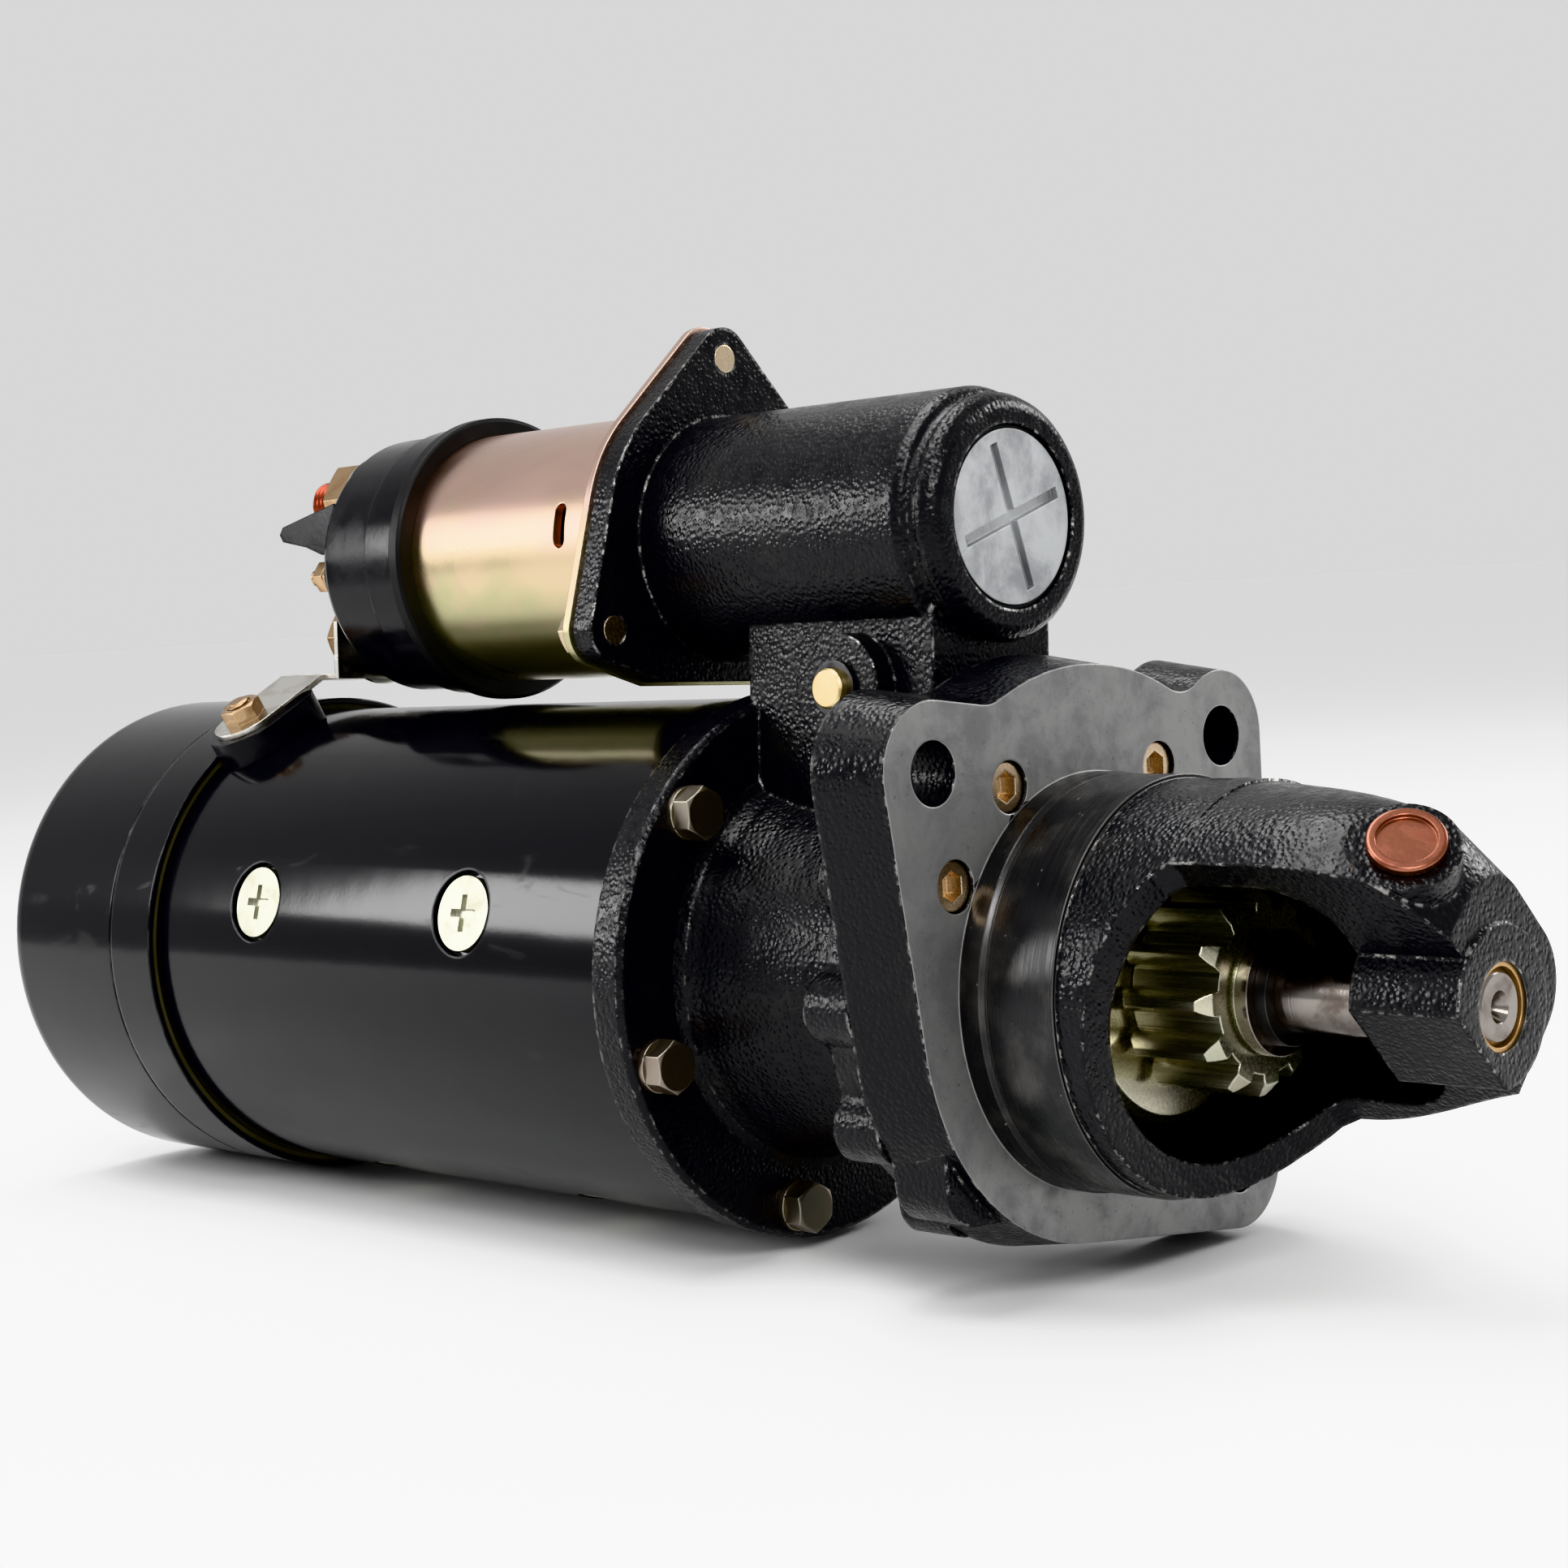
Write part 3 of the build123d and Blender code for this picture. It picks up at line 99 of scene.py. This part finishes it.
# ---------------------------------------------------------------- material tools
class Finish:
    """One procedural material, with short calls for the nodes that the finishes share."""

    def __init__(self, name, colour, roughness, metallic=0.0, **sockets):
        self.material = bpy.data.materials.new(name)
        self.material.use_nodes = True
        self.tree = self.material.node_tree
        self.surface = self.tree.nodes["Principled BSDF"]
        self.set(self.surface, "Base Color", (*colour, 1))
        self.set(self.surface, "Roughness", roughness)
        self.set(self.surface, "Metallic", metallic)
        for socket, value in sockets.items():
            self.set(self.surface, socket.replace("_", " "), value)
        self.place = self.tree.nodes.new("ShaderNodeTexCoord").outputs["Object"]
        self.normal = None

    def set(self, node, socket, value):
        """Give a socket a value, or link it to another node's output."""
        if isinstance(value, bpy.types.NodeSocket):
            self.tree.links.new(value, node.inputs[socket])
        else:
            node.inputs[socket].default_value = value

    def stretched(self, scale):
        """Object coordinates, scaled along each axis."""
        node = self.tree.nodes.new("ShaderNodeMapping")
        self.set(node, "Vector", self.place)
        self.set(node, "Scale", scale)
        return node.outputs[0]

    def noise(self, scale, detail=3.0, stretch=None, distortion=0.0, roughness=0.55):
        """Cloudy value between 0 and 1."""
        node = self.tree.nodes.new("ShaderNodeTexNoise")
        self.set(node, "Vector", self.stretched(stretch) if stretch else self.place)
        self.set(node, "Scale", scale)
        self.set(node, "Detail", detail)
        self.set(node, "Roughness", roughness)
        self.set(node, "Distortion", distortion)
        return node.outputs[0]

    def cells(self, scale):
        """Distance to the nearest of many scattered points."""
        node = self.tree.nodes.new("ShaderNodeTexVoronoi")
        self.set(node, "Vector", self.place)
        self.set(node, "Scale", scale)
        return node.outputs["Distance"]

    def span(self, value, low, high, to_low=0.0, to_high=1.0):
        """Map a value from one span to another, smoothly and clamped."""
        node = self.tree.nodes.new("ShaderNodeMapRange")
        node.interpolation_type = "SMOOTHSTEP"
        self.set(node, 0, value)
        for index, number in enumerate((low, high, to_low, to_high), start=1):
            node.inputs[index].default_value = number
        return node.outputs[0]

    def math(self, operation, first, second):
        """One arithmetic step."""
        node = self.tree.nodes.new("ShaderNodeMath")
        node.operation = operation
        self.set(node, 0, first)
        self.set(node, 1, second)
        return node.outputs[0]

    def blend(self, factor, first, second):
        """Colour between two others."""
        node = self.tree.nodes.new("ShaderNodeMix")
        node.data_type = "RGBA"
        self.set(node, 0, factor)
        self.set(node, 6, first if isinstance(first, bpy.types.NodeSocket) else (*first, 1))
        self.set(node, 7, second if isinstance(second, bpy.types.NodeSocket) else (*second, 1))
        return node.outputs[2]

    def soften(self, radius):
        """Round the look of sharp edges, and return how near each point is to one."""
        bevel = self.tree.nodes.new("ShaderNodeBevel")
        bevel.samples = 6
        self.set(bevel, "Radius", radius)
        geometry = self.tree.nodes.new("ShaderNodeNewGeometry")
        dot = self.tree.nodes.new("ShaderNodeVectorMath")
        dot.operation = "DOT_PRODUCT"
        self.tree.links.new(bevel.outputs[0], dot.inputs[0])
        self.tree.links.new(geometry.outputs["Normal"], dot.inputs[1])
        self.normal = bevel.outputs[0]
        return self.span(self.math("SUBTRACT", 1.0, dot.outputs["Value"]), 0.005, 0.16)

    def bump(self, height, distance, strength):
        """Raise the surface by a height map."""
        node = self.tree.nodes.new("ShaderNodeBump")
        self.set(node, "Height", height)
        self.set(node, "Distance", distance)
        self.set(node, "Strength", strength)
        if self.normal:
            self.set(node, "Normal", self.normal)
        self.normal = node.outputs[0]

    def done(self, colour=None, roughness=None, metallic=None):
        """Link what varies, and return the material."""
        for socket, value in (("Base Color", colour), ("Roughness", roughness), ("Metallic", metallic)):
            if value is not None:
                self.set(self.surface, socket, value)
        if self.normal:
            self.set(self.surface, "Normal", self.normal)
        return self.material


# ---------------------------------------------------------------- materials
def rough_casting():
    """Sand-cast iron under semi-gloss black, with worn bright edges."""
    finish = Finish("rough_casting", (0.010, 0.010, 0.011), 0.30, Specular_IOR_Level=0.30)
    edge = finish.soften(1.4 * MM)
    pits = finish.span(finish.cells(820), 0.0, 0.75)
    grit = finish.noise(1500, 3.0, roughness=0.6)
    lumps = finish.noise(420, 2.0)
    finish.bump(lumps, 0.20 * MM, 0.5)
    finish.bump(pits, 0.17 * MM, 0.65)
    finish.bump(grit, 0.08 * MM, 0.6)
    dust = finish.span(finish.noise(60, 5.0), 0.55, 0.8)
    paint = finish.blend(dust, (0.005, 0.005, 0.006), (0.014, 0.0135, 0.013))
    chips = finish.span(finish.noise(420, 5.0, roughness=0.65), 0.50, 0.60)
    worn = finish.math("MULTIPLY", edge, chips)
    colour = finish.blend(worn, paint, (0.34, 0.33, 0.32))
    return finish.done(colour, finish.span(finish.noise(260, 4.0), 0.3, 0.7, 0.17, 0.36), worn)


def machined_grey():
    """Faced cast iron: fine arcs from the tool, and a few stains."""
    finish = Finish("machined_grey", (0.11, 0.11, 0.11), 0.48, 0.55)
    edge = finish.soften(0.7 * MM)
    swirl = finish.noise(1100, 2.0, stretch=(1, 1, 0.06))
    finish.bump(swirl, 0.03 * MM, 0.4)
    stain = finish.span(finish.noise(70, 7.0, distortion=0.3, roughness=0.65), 0.38, 0.68)
    speck = finish.span(finish.noise(700, 4.0, roughness=0.7), 0.60, 0.72, 0, 0.6)
    base = finish.blend(stain, (0.235, 0.233, 0.230), (0.155, 0.155, 0.157))
    base = finish.blend(speck, base, (0.035, 0.035, 0.035))
    colour = finish.blend(finish.span(edge, 0, 1, 0, 0.8), base, (0.36, 0.35, 0.34))
    return finish.done(colour, finish.span(stain, 0, 1, 0.40, 0.55))


def turned_grey():
    """Turned cast iron: rings round the shaft."""
    finish = Finish("turned_grey", (0.03, 0.03, 0.03), 0.30, 0.5)
    edge = finish.soften(0.6 * MM)
    rings = finish.noise(2200, 2.0, stretch=ROUND_X)
    finish.bump(rings, 0.02 * MM, 0.6)
    stain = finish.span(finish.noise(80, 5.0), 0.45, 0.72)
    base = finish.blend(stain, (0.022, 0.022, 0.023), (0.060, 0.058, 0.055))
    nicks = finish.span(finish.noise(420, 3.0), 0.70, 0.76)
    base = finish.blend(nicks, base, (0.30, 0.29, 0.28))
    colour = finish.blend(finish.span(edge, 0, 1, 0, 0.5), base, (0.25, 0.24, 0.23))
    return finish.done(colour, finish.span(rings, 0.2, 0.8, 0.20, 0.36))


def gloss_enamel():
    """Smooth gloss black enamel, a little wavy, with faint scuffs."""
    finish = Finish("gloss_enamel", (0.006, 0.006, 0.007), 0.14, Specular_IOR_Level=0.30)
    edge = finish.soften(0.9 * MM)
    finish.bump(finish.noise(38, 2.0), 0.35 * MM, 0.30)
    finish.bump(finish.noise(900, 2.0), 0.02 * MM, 0.35)
    scuff = finish.span(finish.noise(85, 6.0, stretch=(0.35, 1, 1), distortion=1.2), 0.60, 0.74)
    paint = finish.blend(scuff, (0.004, 0.004, 0.005), (0.009, 0.009, 0.010))
    rubbed = finish.math("MULTIPLY", edge, finish.span(finish.noise(160, 4.0), 0.42, 0.66, 0, 0.5))
    colour = finish.blend(rubbed, paint, (0.14, 0.135, 0.13))
    return finish.done(colour, finish.span(scuff, 0, 1, 0.13, 0.24))


def yellow_zinc(name, gold, pink, green, roughness, bands):
    """Yellow chromate plating: gold that drifts to pink and green, over brushed metal."""
    finish = Finish(name, gold, roughness, 1.0)
    edge = finish.soften(0.5 * MM)
    brushed = finish.noise(1300, 2.0, stretch=bands)
    finish.bump(brushed, 0.008 * MM, 0.4)
    drift = finish.noise(17, 2.0, distortion=0.8)
    other = finish.noise(22, 2.0, stretch=(1.3, 0.8, 1), distortion=0.9)
    warm = finish.blend(finish.span(drift, 0.38, 0.66), gold, pink)
    cool = finish.blend(finish.span(other, 0.48, 0.72), warm, green)
    spots = finish.span(finish.noise(240, 4.0), 0.66, 0.80, 0, 0.35)
    stained = finish.blend(spots, cool, (0.20, 0.14, 0.08))
    colour = finish.blend(finish.span(edge, 0, 1, 0, 0.35), stained, (0.80, 0.76, 0.66))
    return finish.done(colour, finish.span(brushed, 0.2, 0.8, roughness - 0.03, roughness + 0.05))


def plated_can():
    """Yellow chromate on the drawn can, with painted light by height: a pink tint above stands for a
    highlight, gold in the middle, and a darker green below is painted shade.
    """
    low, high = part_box("solenoid_case")
    finish = Finish("yellow_zinc_can", (0.58, 0.45, 0.28), 0.27, 1.0)
    edge = finish.soften(0.5 * MM)
    finish.bump(finish.noise(900, 2.0, stretch=ROUND_X), 0.004 * MM, 0.3)
    split = finish.tree.nodes.new("ShaderNodeSeparateXYZ")
    finish.set(split, 0, finish.place)
    # The tint by height is painted light: pink at the top stands for a highlight, and darker green at the
    # bottom is painted shade. The cloud adds the plating's own random drift.
    height = finish.span(split.outputs["Z"], low[2], high[2])
    cloud = finish.span(finish.noise(16, 3.0, distortion=0.8), 0.3, 0.7, -0.22, 0.22)
    level = finish.math("ADD", height, cloud)
    pink_painted_highlight_top = finish.blend(finish.span(level, 0.52, 0.86), (0.58, 0.46, 0.30), (0.52, 0.37, 0.31))
    tint_with_painted_light = finish.blend(finish.span(level, 0.18, 0.48), (0.40, 0.38, 0.22), pink_painted_highlight_top)
    spots = finish.span(finish.noise(110, 5.0, roughness=0.65), 0.50, 0.72, 0, 0.35)
    mottled = finish.blend(spots, tint_with_painted_light, (0.56, 0.37, 0.30))
    colour = finish.blend(finish.span(edge, 0, 1, 0, 0.35), mottled, (0.80, 0.76, 0.66))
    return finish.done(colour, finish.span(cloud, -0.2, 0.2, 0.25, 0.32))


def plain_metal(name, colour, dark, roughness, grain=EVEN):
    """Bare or plated metal with grain, tarnish and brighter edges."""
    finish = Finish(name, colour, roughness, 1.0)
    edge = finish.soften(0.45 * MM)
    lines = finish.noise(1500, 2.0, stretch=grain)
    finish.bump(lines, 0.02 * MM, 0.6)
    tarnish = finish.span(finish.noise(130, 5.0, distortion=0.5), 0.42, 0.72)
    base = finish.blend(tarnish, colour, dark)
    bright = tuple(min(1.0, channel * 1.25) for channel in colour)
    shown = finish.blend(finish.span(edge, 0, 1, 0, 0.6), base, bright)
    return finish.done(shown, finish.span(tarnish, 0, 1, roughness - 0.04, roughness + 0.14))


def moulded(name, colour, roughness, grain):
    """Moulded plastic or rubber with a fine surface."""
    finish = Finish(name, colour, roughness, Specular_IOR_Level=0.25)
    edge = finish.soften(0.6 * MM)
    finish.bump(finish.noise(grain, 3.0), 0.03 * MM, 0.5)
    cloud = finish.span(finish.noise(90, 4.0), 0.4, 0.7)
    paler = tuple(channel * 1.5 + 0.002 for channel in colour)
    base = finish.blend(cloud, colour, paler)
    rubbed = tuple(channel * 2 + 0.01 for channel in colour)
    shown = finish.blend(finish.span(edge, 0, 1, 0, 0.2), base, rubbed)
    return finish.done(shown, finish.span(cloud, 0, 1, roughness, roughness + 0.12))


def die_cast():
    """Matte pale-grey zinc casting with cloudy marks and brighter edges."""
    finish = Finish("die_cast", (0.32, 0.32, 0.32), 0.50, 0.55)
    edge = finish.soften(0.5 * MM)
    finish.bump(finish.noise(800, 4.0), 0.06 * MM, 0.5)
    flow = finish.span(finish.noise(75, 5.0, distortion=0.3, roughness=0.65), 0.36, 0.68)
    base = finish.blend(flow, (0.44, 0.45, 0.46), (0.25, 0.255, 0.265))
    colour = finish.blend(finish.span(edge, 0, 1, 0, 0.6), base, (0.55, 0.55, 0.54))
    return finish.done(colour)


def felt():
    """Oil-soaked felt."""
    finish = Finish("felt", (0.35, 0.30, 0.20), 0.9, Sheen_Weight=0.3)
    finish.bump(finish.noise(1800, 5.0), 0.2 * MM, 1.0)
    colour = finish.blend(finish.noise(300, 3.0), (0.38, 0.33, 0.22), (0.24, 0.19, 0.12))
    return finish.done(colour)


CASTING = rough_casting()
MACHINED = machined_grey()
TURNED = turned_grey()
ENAMEL = gloss_enamel()
GOLD = plated_can()
SOCKET_ZINC = yellow_zinc(
    "yellow_zinc_screws", gold=(0.60, 0.47, 0.33), pink=(0.50, 0.36, 0.26), green=(0.52, 0.45, 0.33),
    roughness=0.26, bands=EVEN,
)
BOLT_ZINC = yellow_zinc(
    "aged_zinc_bolts", gold=(0.27, 0.24, 0.20), pink=(0.23, 0.18, 0.15), green=(0.20, 0.20, 0.17),
    roughness=0.34, bands=EVEN,
)
OLIVE_ZINC = yellow_zinc(
    "olive_zinc", gold=(0.46, 0.445, 0.345), pink=(0.42, 0.39, 0.31), green=(0.38, 0.39, 0.30),
    roughness=0.25, bands=ALONG_X,
)
PALE_ZINC = plain_metal("pale_zinc", (0.52, 0.52, 0.44), (0.34, 0.33, 0.26), 0.34)
STEEL = plain_metal("bright_steel", (0.25, 0.23, 0.21), (0.15, 0.125, 0.11), 0.20, ROUND_X)
DARK_STEEL = plain_metal("dark_steel", (0.06, 0.06, 0.062), (0.03, 0.03, 0.03), 0.35, ROUND_X)
COPPER = plain_metal("copper", (0.22, 0.048, 0.027), (0.11, 0.025, 0.016), 0.28, ROUND_X)
COPPER_CAP = plain_metal("copper_cap", (0.30, 0.125, 0.085), (0.17, 0.062, 0.042), 0.26)
BRASS = plain_metal("brass", (0.46, 0.32, 0.19), (0.27, 0.16, 0.09), 0.26)
BRASS_PIN = plain_metal("brass_pin", (0.80, 0.64, 0.34), (0.60, 0.44, 0.20), 0.34)
TIN = plain_metal("tin_plate", (0.62, 0.60, 0.56), (0.36, 0.33, 0.29), 0.24, (0.2, 1, 1))
BRONZE = plain_metal("bronze", (0.46, 0.30, 0.15), (0.26, 0.16, 0.08), 0.40, ROUND_X)
BAKELITE = moulded("bakelite", (0.004, 0.004, 0.005), 0.16, 700)
RUBBER = moulded("rubber", (0.004, 0.004, 0.004), 0.40, 1200)
OLIVE_RUBBER = moulded("olive_rubber", (0.045, 0.040, 0.022), 0.60, 1200)
CARBON = moulded("carbon", (0.03, 0.03, 0.03), 0.55, 1500)
PLUG = die_cast()
FELT = felt()

# The CAD nodes that wear each material.
LOOKS = {
    CASTING: ("lever_housing", "nose_housing"),
    ENAMEL: ("field_frame", "rear_cap"),
    GOLD: ("solenoid_case", "solenoid_plate"),
    SOCKET_ZINC: ("solenoid_screws", "nose_screws"),
    BOLT_ZINC: ("rim_bolts", "rim_washers", "rear_screws"),
    OLIVE_ZINC: ("pinion", "clutch_shell"),
    PALE_ZINC: ("pole_screws", "lever_pin_clip", "stud_washer", "brush_springs", "return_spring"),
    STEEL: (
        "armature_shaft", "pinion_collar", "clutch_rollers", "shift_collar",
        "shift_lever", "plunger", "plunger_link", "fixed_core", "pole_shoes", "armature_core",
    ),
    DARK_STEEL: ("pinion_stop_ring", "lever_pin_ring", "centre_bearing_plate"),
    COPPER: (
        "battery_stud", "motor_stud", "field_coils", "armature_windings",
        "commutator", "contact_disc", "solenoid_coil",
    ),
    COPPER_CAP: ("wick_cap",),
    BRASS: (
        "stud_nuts", "field_terminal_nut", "field_terminal",
        "switch_terminal", "switch_nuts", "contact_rod",
    ),
    BRASS_PIN: ("lever_pin",),
    TIN: ("motor_strap",),
    BRONZE: ("nose_bush", "centre_bush", "rear_bush"),
    BAKELITE: ("solenoid_cap", "terminal_insulator", "coil_bobbin", "brush_holders"),
    RUBBER: ("cap_gasket", "plug_seal"),
    OLIVE_RUBBER: ("frame_seal_ring",),
    CARBON: ("brushes",),
    PLUG: ("tube_plug",),
    FELT: ("oil_wick",),
}


def dress(node, material):
    """Give a CAD node one material in place of its plain one."""
    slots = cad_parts[node].data.materials
    slots.clear()
    slots.append(material)


for material, nodes in LOOKS.items():
    for node in nodes:
        dress(node, material)


# Where the machined faces lie, in millimetres: the flange face is at x = 0.
REGISTER_END = 24.6
REGISTER_R = (44, 46.5)
BOSS_BORE_START = 75
BOSS_BORE_R = 9.5
REAR_FACE_END = -92


def flange_face(place, normal, radius):
    """Front face of the mounting flange."""
    return abs(place.x) < 0.3 and normal.x > 0.9


def register(place, normal, radius):
    """Turned band in front of the flange face."""
    return -0.5 < place.x < REGISTER_END and REGISTER_R[0] < radius < REGISTER_R[1]


def boss_bore(place, normal, radius):
    """Bore in the boss at the nose."""
    return place.x > BOSS_BORE_START and radius < BOSS_BORE_R


def rear_face(place, normal, radius):
    """Rear face of the lever housing's rim."""
    return place.x < REAR_FACE_END and normal.x < -0.9


def machine_faces(node, material, test):
    """Give a casting's machined face its own finish, where a test of place, normal and radius is true."""
    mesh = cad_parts[node].data
    index = len(mesh.materials)
    mesh.materials.append(material)
    for polygon in mesh.polygons:
        centre = polygon.center / MM
        radius = (centre.y ** 2 + centre.z ** 2) ** 0.5
        if test(centre, polygon.normal, radius):
            polygon.material_index = index


machine_faces("nose_housing", MACHINED, flange_face)
machine_faces("nose_housing", TURNED, register)
machine_faces("nose_housing", TURNED, boss_bore)
machine_faces("lever_housing", TURNED, rear_face)


# ---------------------------------------------------------------- threaded studs and the return spring
SHARP_ANGLE = radians(35)
THREAD_DEPTH = 0.55
THREAD_FLANK = 2.6
TIP_CHAMFER = 0.8
SOLENOID_LEAN = radians(3.3)
SPRING_WIRE = 1.1 * MM
SPRING_TURNS = 6

# Sizes in millimetres. A head is its radius and thickness.
POWER_STUD = {"radius": 6.35, "pitch": 1.75, "thread_from": 20.0, "head": (8.4, 5.9)}
SWITCH_STUD = {"radius": 2.5, "pitch": 0.8, "thread_from": 8.0, "head": (4.9, 3.0)}
FIELD_STUD = {"radius": 3.5, "pitch": 1.0, "thread_from": 14.0, "head": (0.0, 0.0)}


def lofted(name, rings):
    """Closed smooth piece through rings that have the same number of points."""
    sides = len(rings[0])
    verts = [point for ring in rings for point in ring]
    faces = [tuple(reversed(range(sides)))]
    for row in range(len(rings) - 1):
        for step in range(sides):
            after = (step + 1) % sides
            low, high = row * sides, (row + 1) * sides
            faces.append((low + step, low + after, high + after, high + step))
    faces.append(tuple(range(len(verts) - sides, len(verts))))
    mesh = bpy.data.meshes.new(name)
    mesh.from_pydata(verts, [], faces)
    mesh.polygons.foreach_set("use_smooth", [True] * len(mesh.polygons))
    mesh.set_sharp_from_angle(angle=SHARP_ANGLE)
    piece = bpy.data.objects.new(name, mesh)
    bpy.context.scene.collection.objects.link(piece)
    return piece


def stand_in(piece, node):
    """Put a piece in the place of a CAD node on the fixed body, in the node's finish."""
    piece.data.materials.append(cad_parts[node].data.materials[0])
    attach(piece, "root")
    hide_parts(node)


def leaning(x, height, y):
    """Point given in the solenoid's axes, which lean about the shaft, turned into metres."""
    across = y * cos(SOLENOID_LEAN) + height * sin(SOLENOID_LEAN)
    up = height * cos(SOLENOID_LEAN) - y * sin(SOLENOID_LEAN)
    return Vector((x, across, up)) * MM


def threaded_rod(name, start, direction, length, radius, pitch, thread_from, head):
    """Rod with a helical thread past thread_from, and a head at its start."""
    turns_round = 32
    rise = pitch / 8
    head_radius, head_thickness = head
    rings = []
    for row in range(int(length / rise) + 1):
        along = min(row * rise, length)
        ring = []
        for step in range(turns_round):
            turn = 2 * pi * step / turns_round
            size = radius
            if along < head_thickness:
                size = head_radius
            elif along > thread_from:
                phase = (along / pitch - step / turns_round) % 1.0
                size -= THREAD_DEPTH * min(1.0, THREAD_FLANK * min(phase, 1 - phase))
                size -= max(0.0, 1.0 - (length - along)) * TIP_CHAMFER
            ring.append((size * cos(turn) * MM, size * sin(turn) * MM, along * MM))
        rings.append(ring)
    piece = lofted(name, rings)
    turn_to = Vector(direction).to_track_quat("Z", "Y").to_matrix().to_4x4()
    piece.matrix_world = Matrix.Translation(start) @ turn_to
    return piece


def thread_nodes():
    """Put threaded rods in place of the plain studs."""
    backwards = (-1, 0, 0)
    lead_turn = radians(118.0)
    outwards = Vector((0, cos(lead_turn), sin(lead_turn)))
    field_start = Vector((-0.2655, 0, 0)) + outwards * 0.0515
    rods = {
        "battery_stud": (leaning(-223.1, 121.8, -3), backwards, 48.9, POWER_STUD),
        "motor_stud": (leaning(-223.1, 83.8, -3), backwards, 42.9, POWER_STUD),
        "switch_terminal": (leaning(-226, 99.8, -24), backwards, 24.0, SWITCH_STUD),
        "field_terminal": (field_start, outwards, 26.6, FIELD_STUD),
    }
    for node, (start, direction, length, stud) in rods.items():
        rod = threaded_rod(node + "_thread", start, direction, length, **stud)
        stand_in(rod, node)


def return_spring():
    """Coil spring round the plunger, at the length of the CAD spring."""
    low, high = (Vector(corner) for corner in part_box("return_spring"))
    middle = (low + high) / 2
    radius = (high.y - low.y) / 2 - SPRING_WIRE
    length = high.x - low.x
    steps_round = 36
    sides = 10
    steps = SPRING_TURNS * steps_round
    rings = []
    for step in range(steps + 1):
        turn = 2 * pi * step / steps_round
        outward = Vector((0, cos(turn), sin(turn)))
        along = low.x + SPRING_WIRE + (length - 2 * SPRING_WIRE) * step / steps
        centre = Vector((along, middle.y, middle.z)) + outward * radius
        ring = []
        for side in range(sides):
            angle = 2 * pi * side / sides
            ring.append(centre + SPRING_WIRE * (outward * cos(angle) - Vector((sin(angle), 0, 0))))
        rings.append(ring)
    spring = lofted("return_spring_coil", rings)
    stand_in(spring, "return_spring")
    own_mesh(spring)


thread_nodes()
return_spring()


# ---------------------------------------------------------------- floor and light
FLOOR_SIZE = 60
FLOOR_GAP = 0.2 * MM
LIGHT_TARGET = (-0.10, 0, 0.03)


def make_floor():
    """Plain pale floor just under the lowest point, wide enough to reach the horizon."""
    low = cad_box[0][2]
    bpy.ops.mesh.primitive_plane_add(size=FLOOR_SIZE, location=(0, 0, low - FLOOR_GAP))
    floor = bpy.context.object
    floor.name = "floor"
    finish = Finish("floor", (0.80, 0.80, 0.80), 0.8, Specular_IOR_Level=0.1)
    floor.data.materials.append(finish.done())


def make_light(name, place, width, height, power):
    """Soft box that looks at the motor."""
    data = bpy.data.lights.new(name, "AREA")
    data.shape = "RECTANGLE"
    data.size = width
    data.size_y = height
    data.energy = power
    light = bpy.data.objects.new(name, data)
    bpy.context.scene.collection.objects.link(light)
    light.location = place
    aim = Vector(LIGHT_TARGET) - Vector(place)
    light.rotation_euler = aim.to_track_quat("-Z", "Y").to_euler()


def make_sun():
    """Broad soft light that reaches the whole floor."""
    data = bpy.data.lights.new("sun", "SUN")
    data.energy = 0.72
    data.angle = radians(40)
    sun = bpy.data.objects.new("sun", data)
    bpy.context.scene.collection.objects.link(sun)
    sun.rotation_euler = (radians(28), radians(-18), 0)


def make_world():
    """Even pale surroundings, shown without a film curve that would grey the black paint."""
    bpy.context.scene.view_settings.view_transform = "Khronos PBR Neutral"
    world = bpy.data.worlds.new("studio")
    world.use_nodes = True
    background = world.node_tree.nodes["Background"]
    background.inputs["Color"].default_value = (1, 1, 1, 1)
    background.inputs["Strength"].default_value = 0.72
    bpy.context.scene.world = world


make_floor()
make_world()
make_sun()
make_light("top_box", place=(-0.25, -0.10, 1.2), width=1.4, height=0.45, power=13)
make_light("front_box", place=(0.9, -0.9, 0.9), width=0.45, height=0.45, power=11)
make_light("left_box", place=(-1.1, -1.0, 0.45), width=0.6, height=0.4, power=8)
make_light("rim_box", place=(0.5, 1.2, 0.8), width=0.8, height=0.45, power=10)
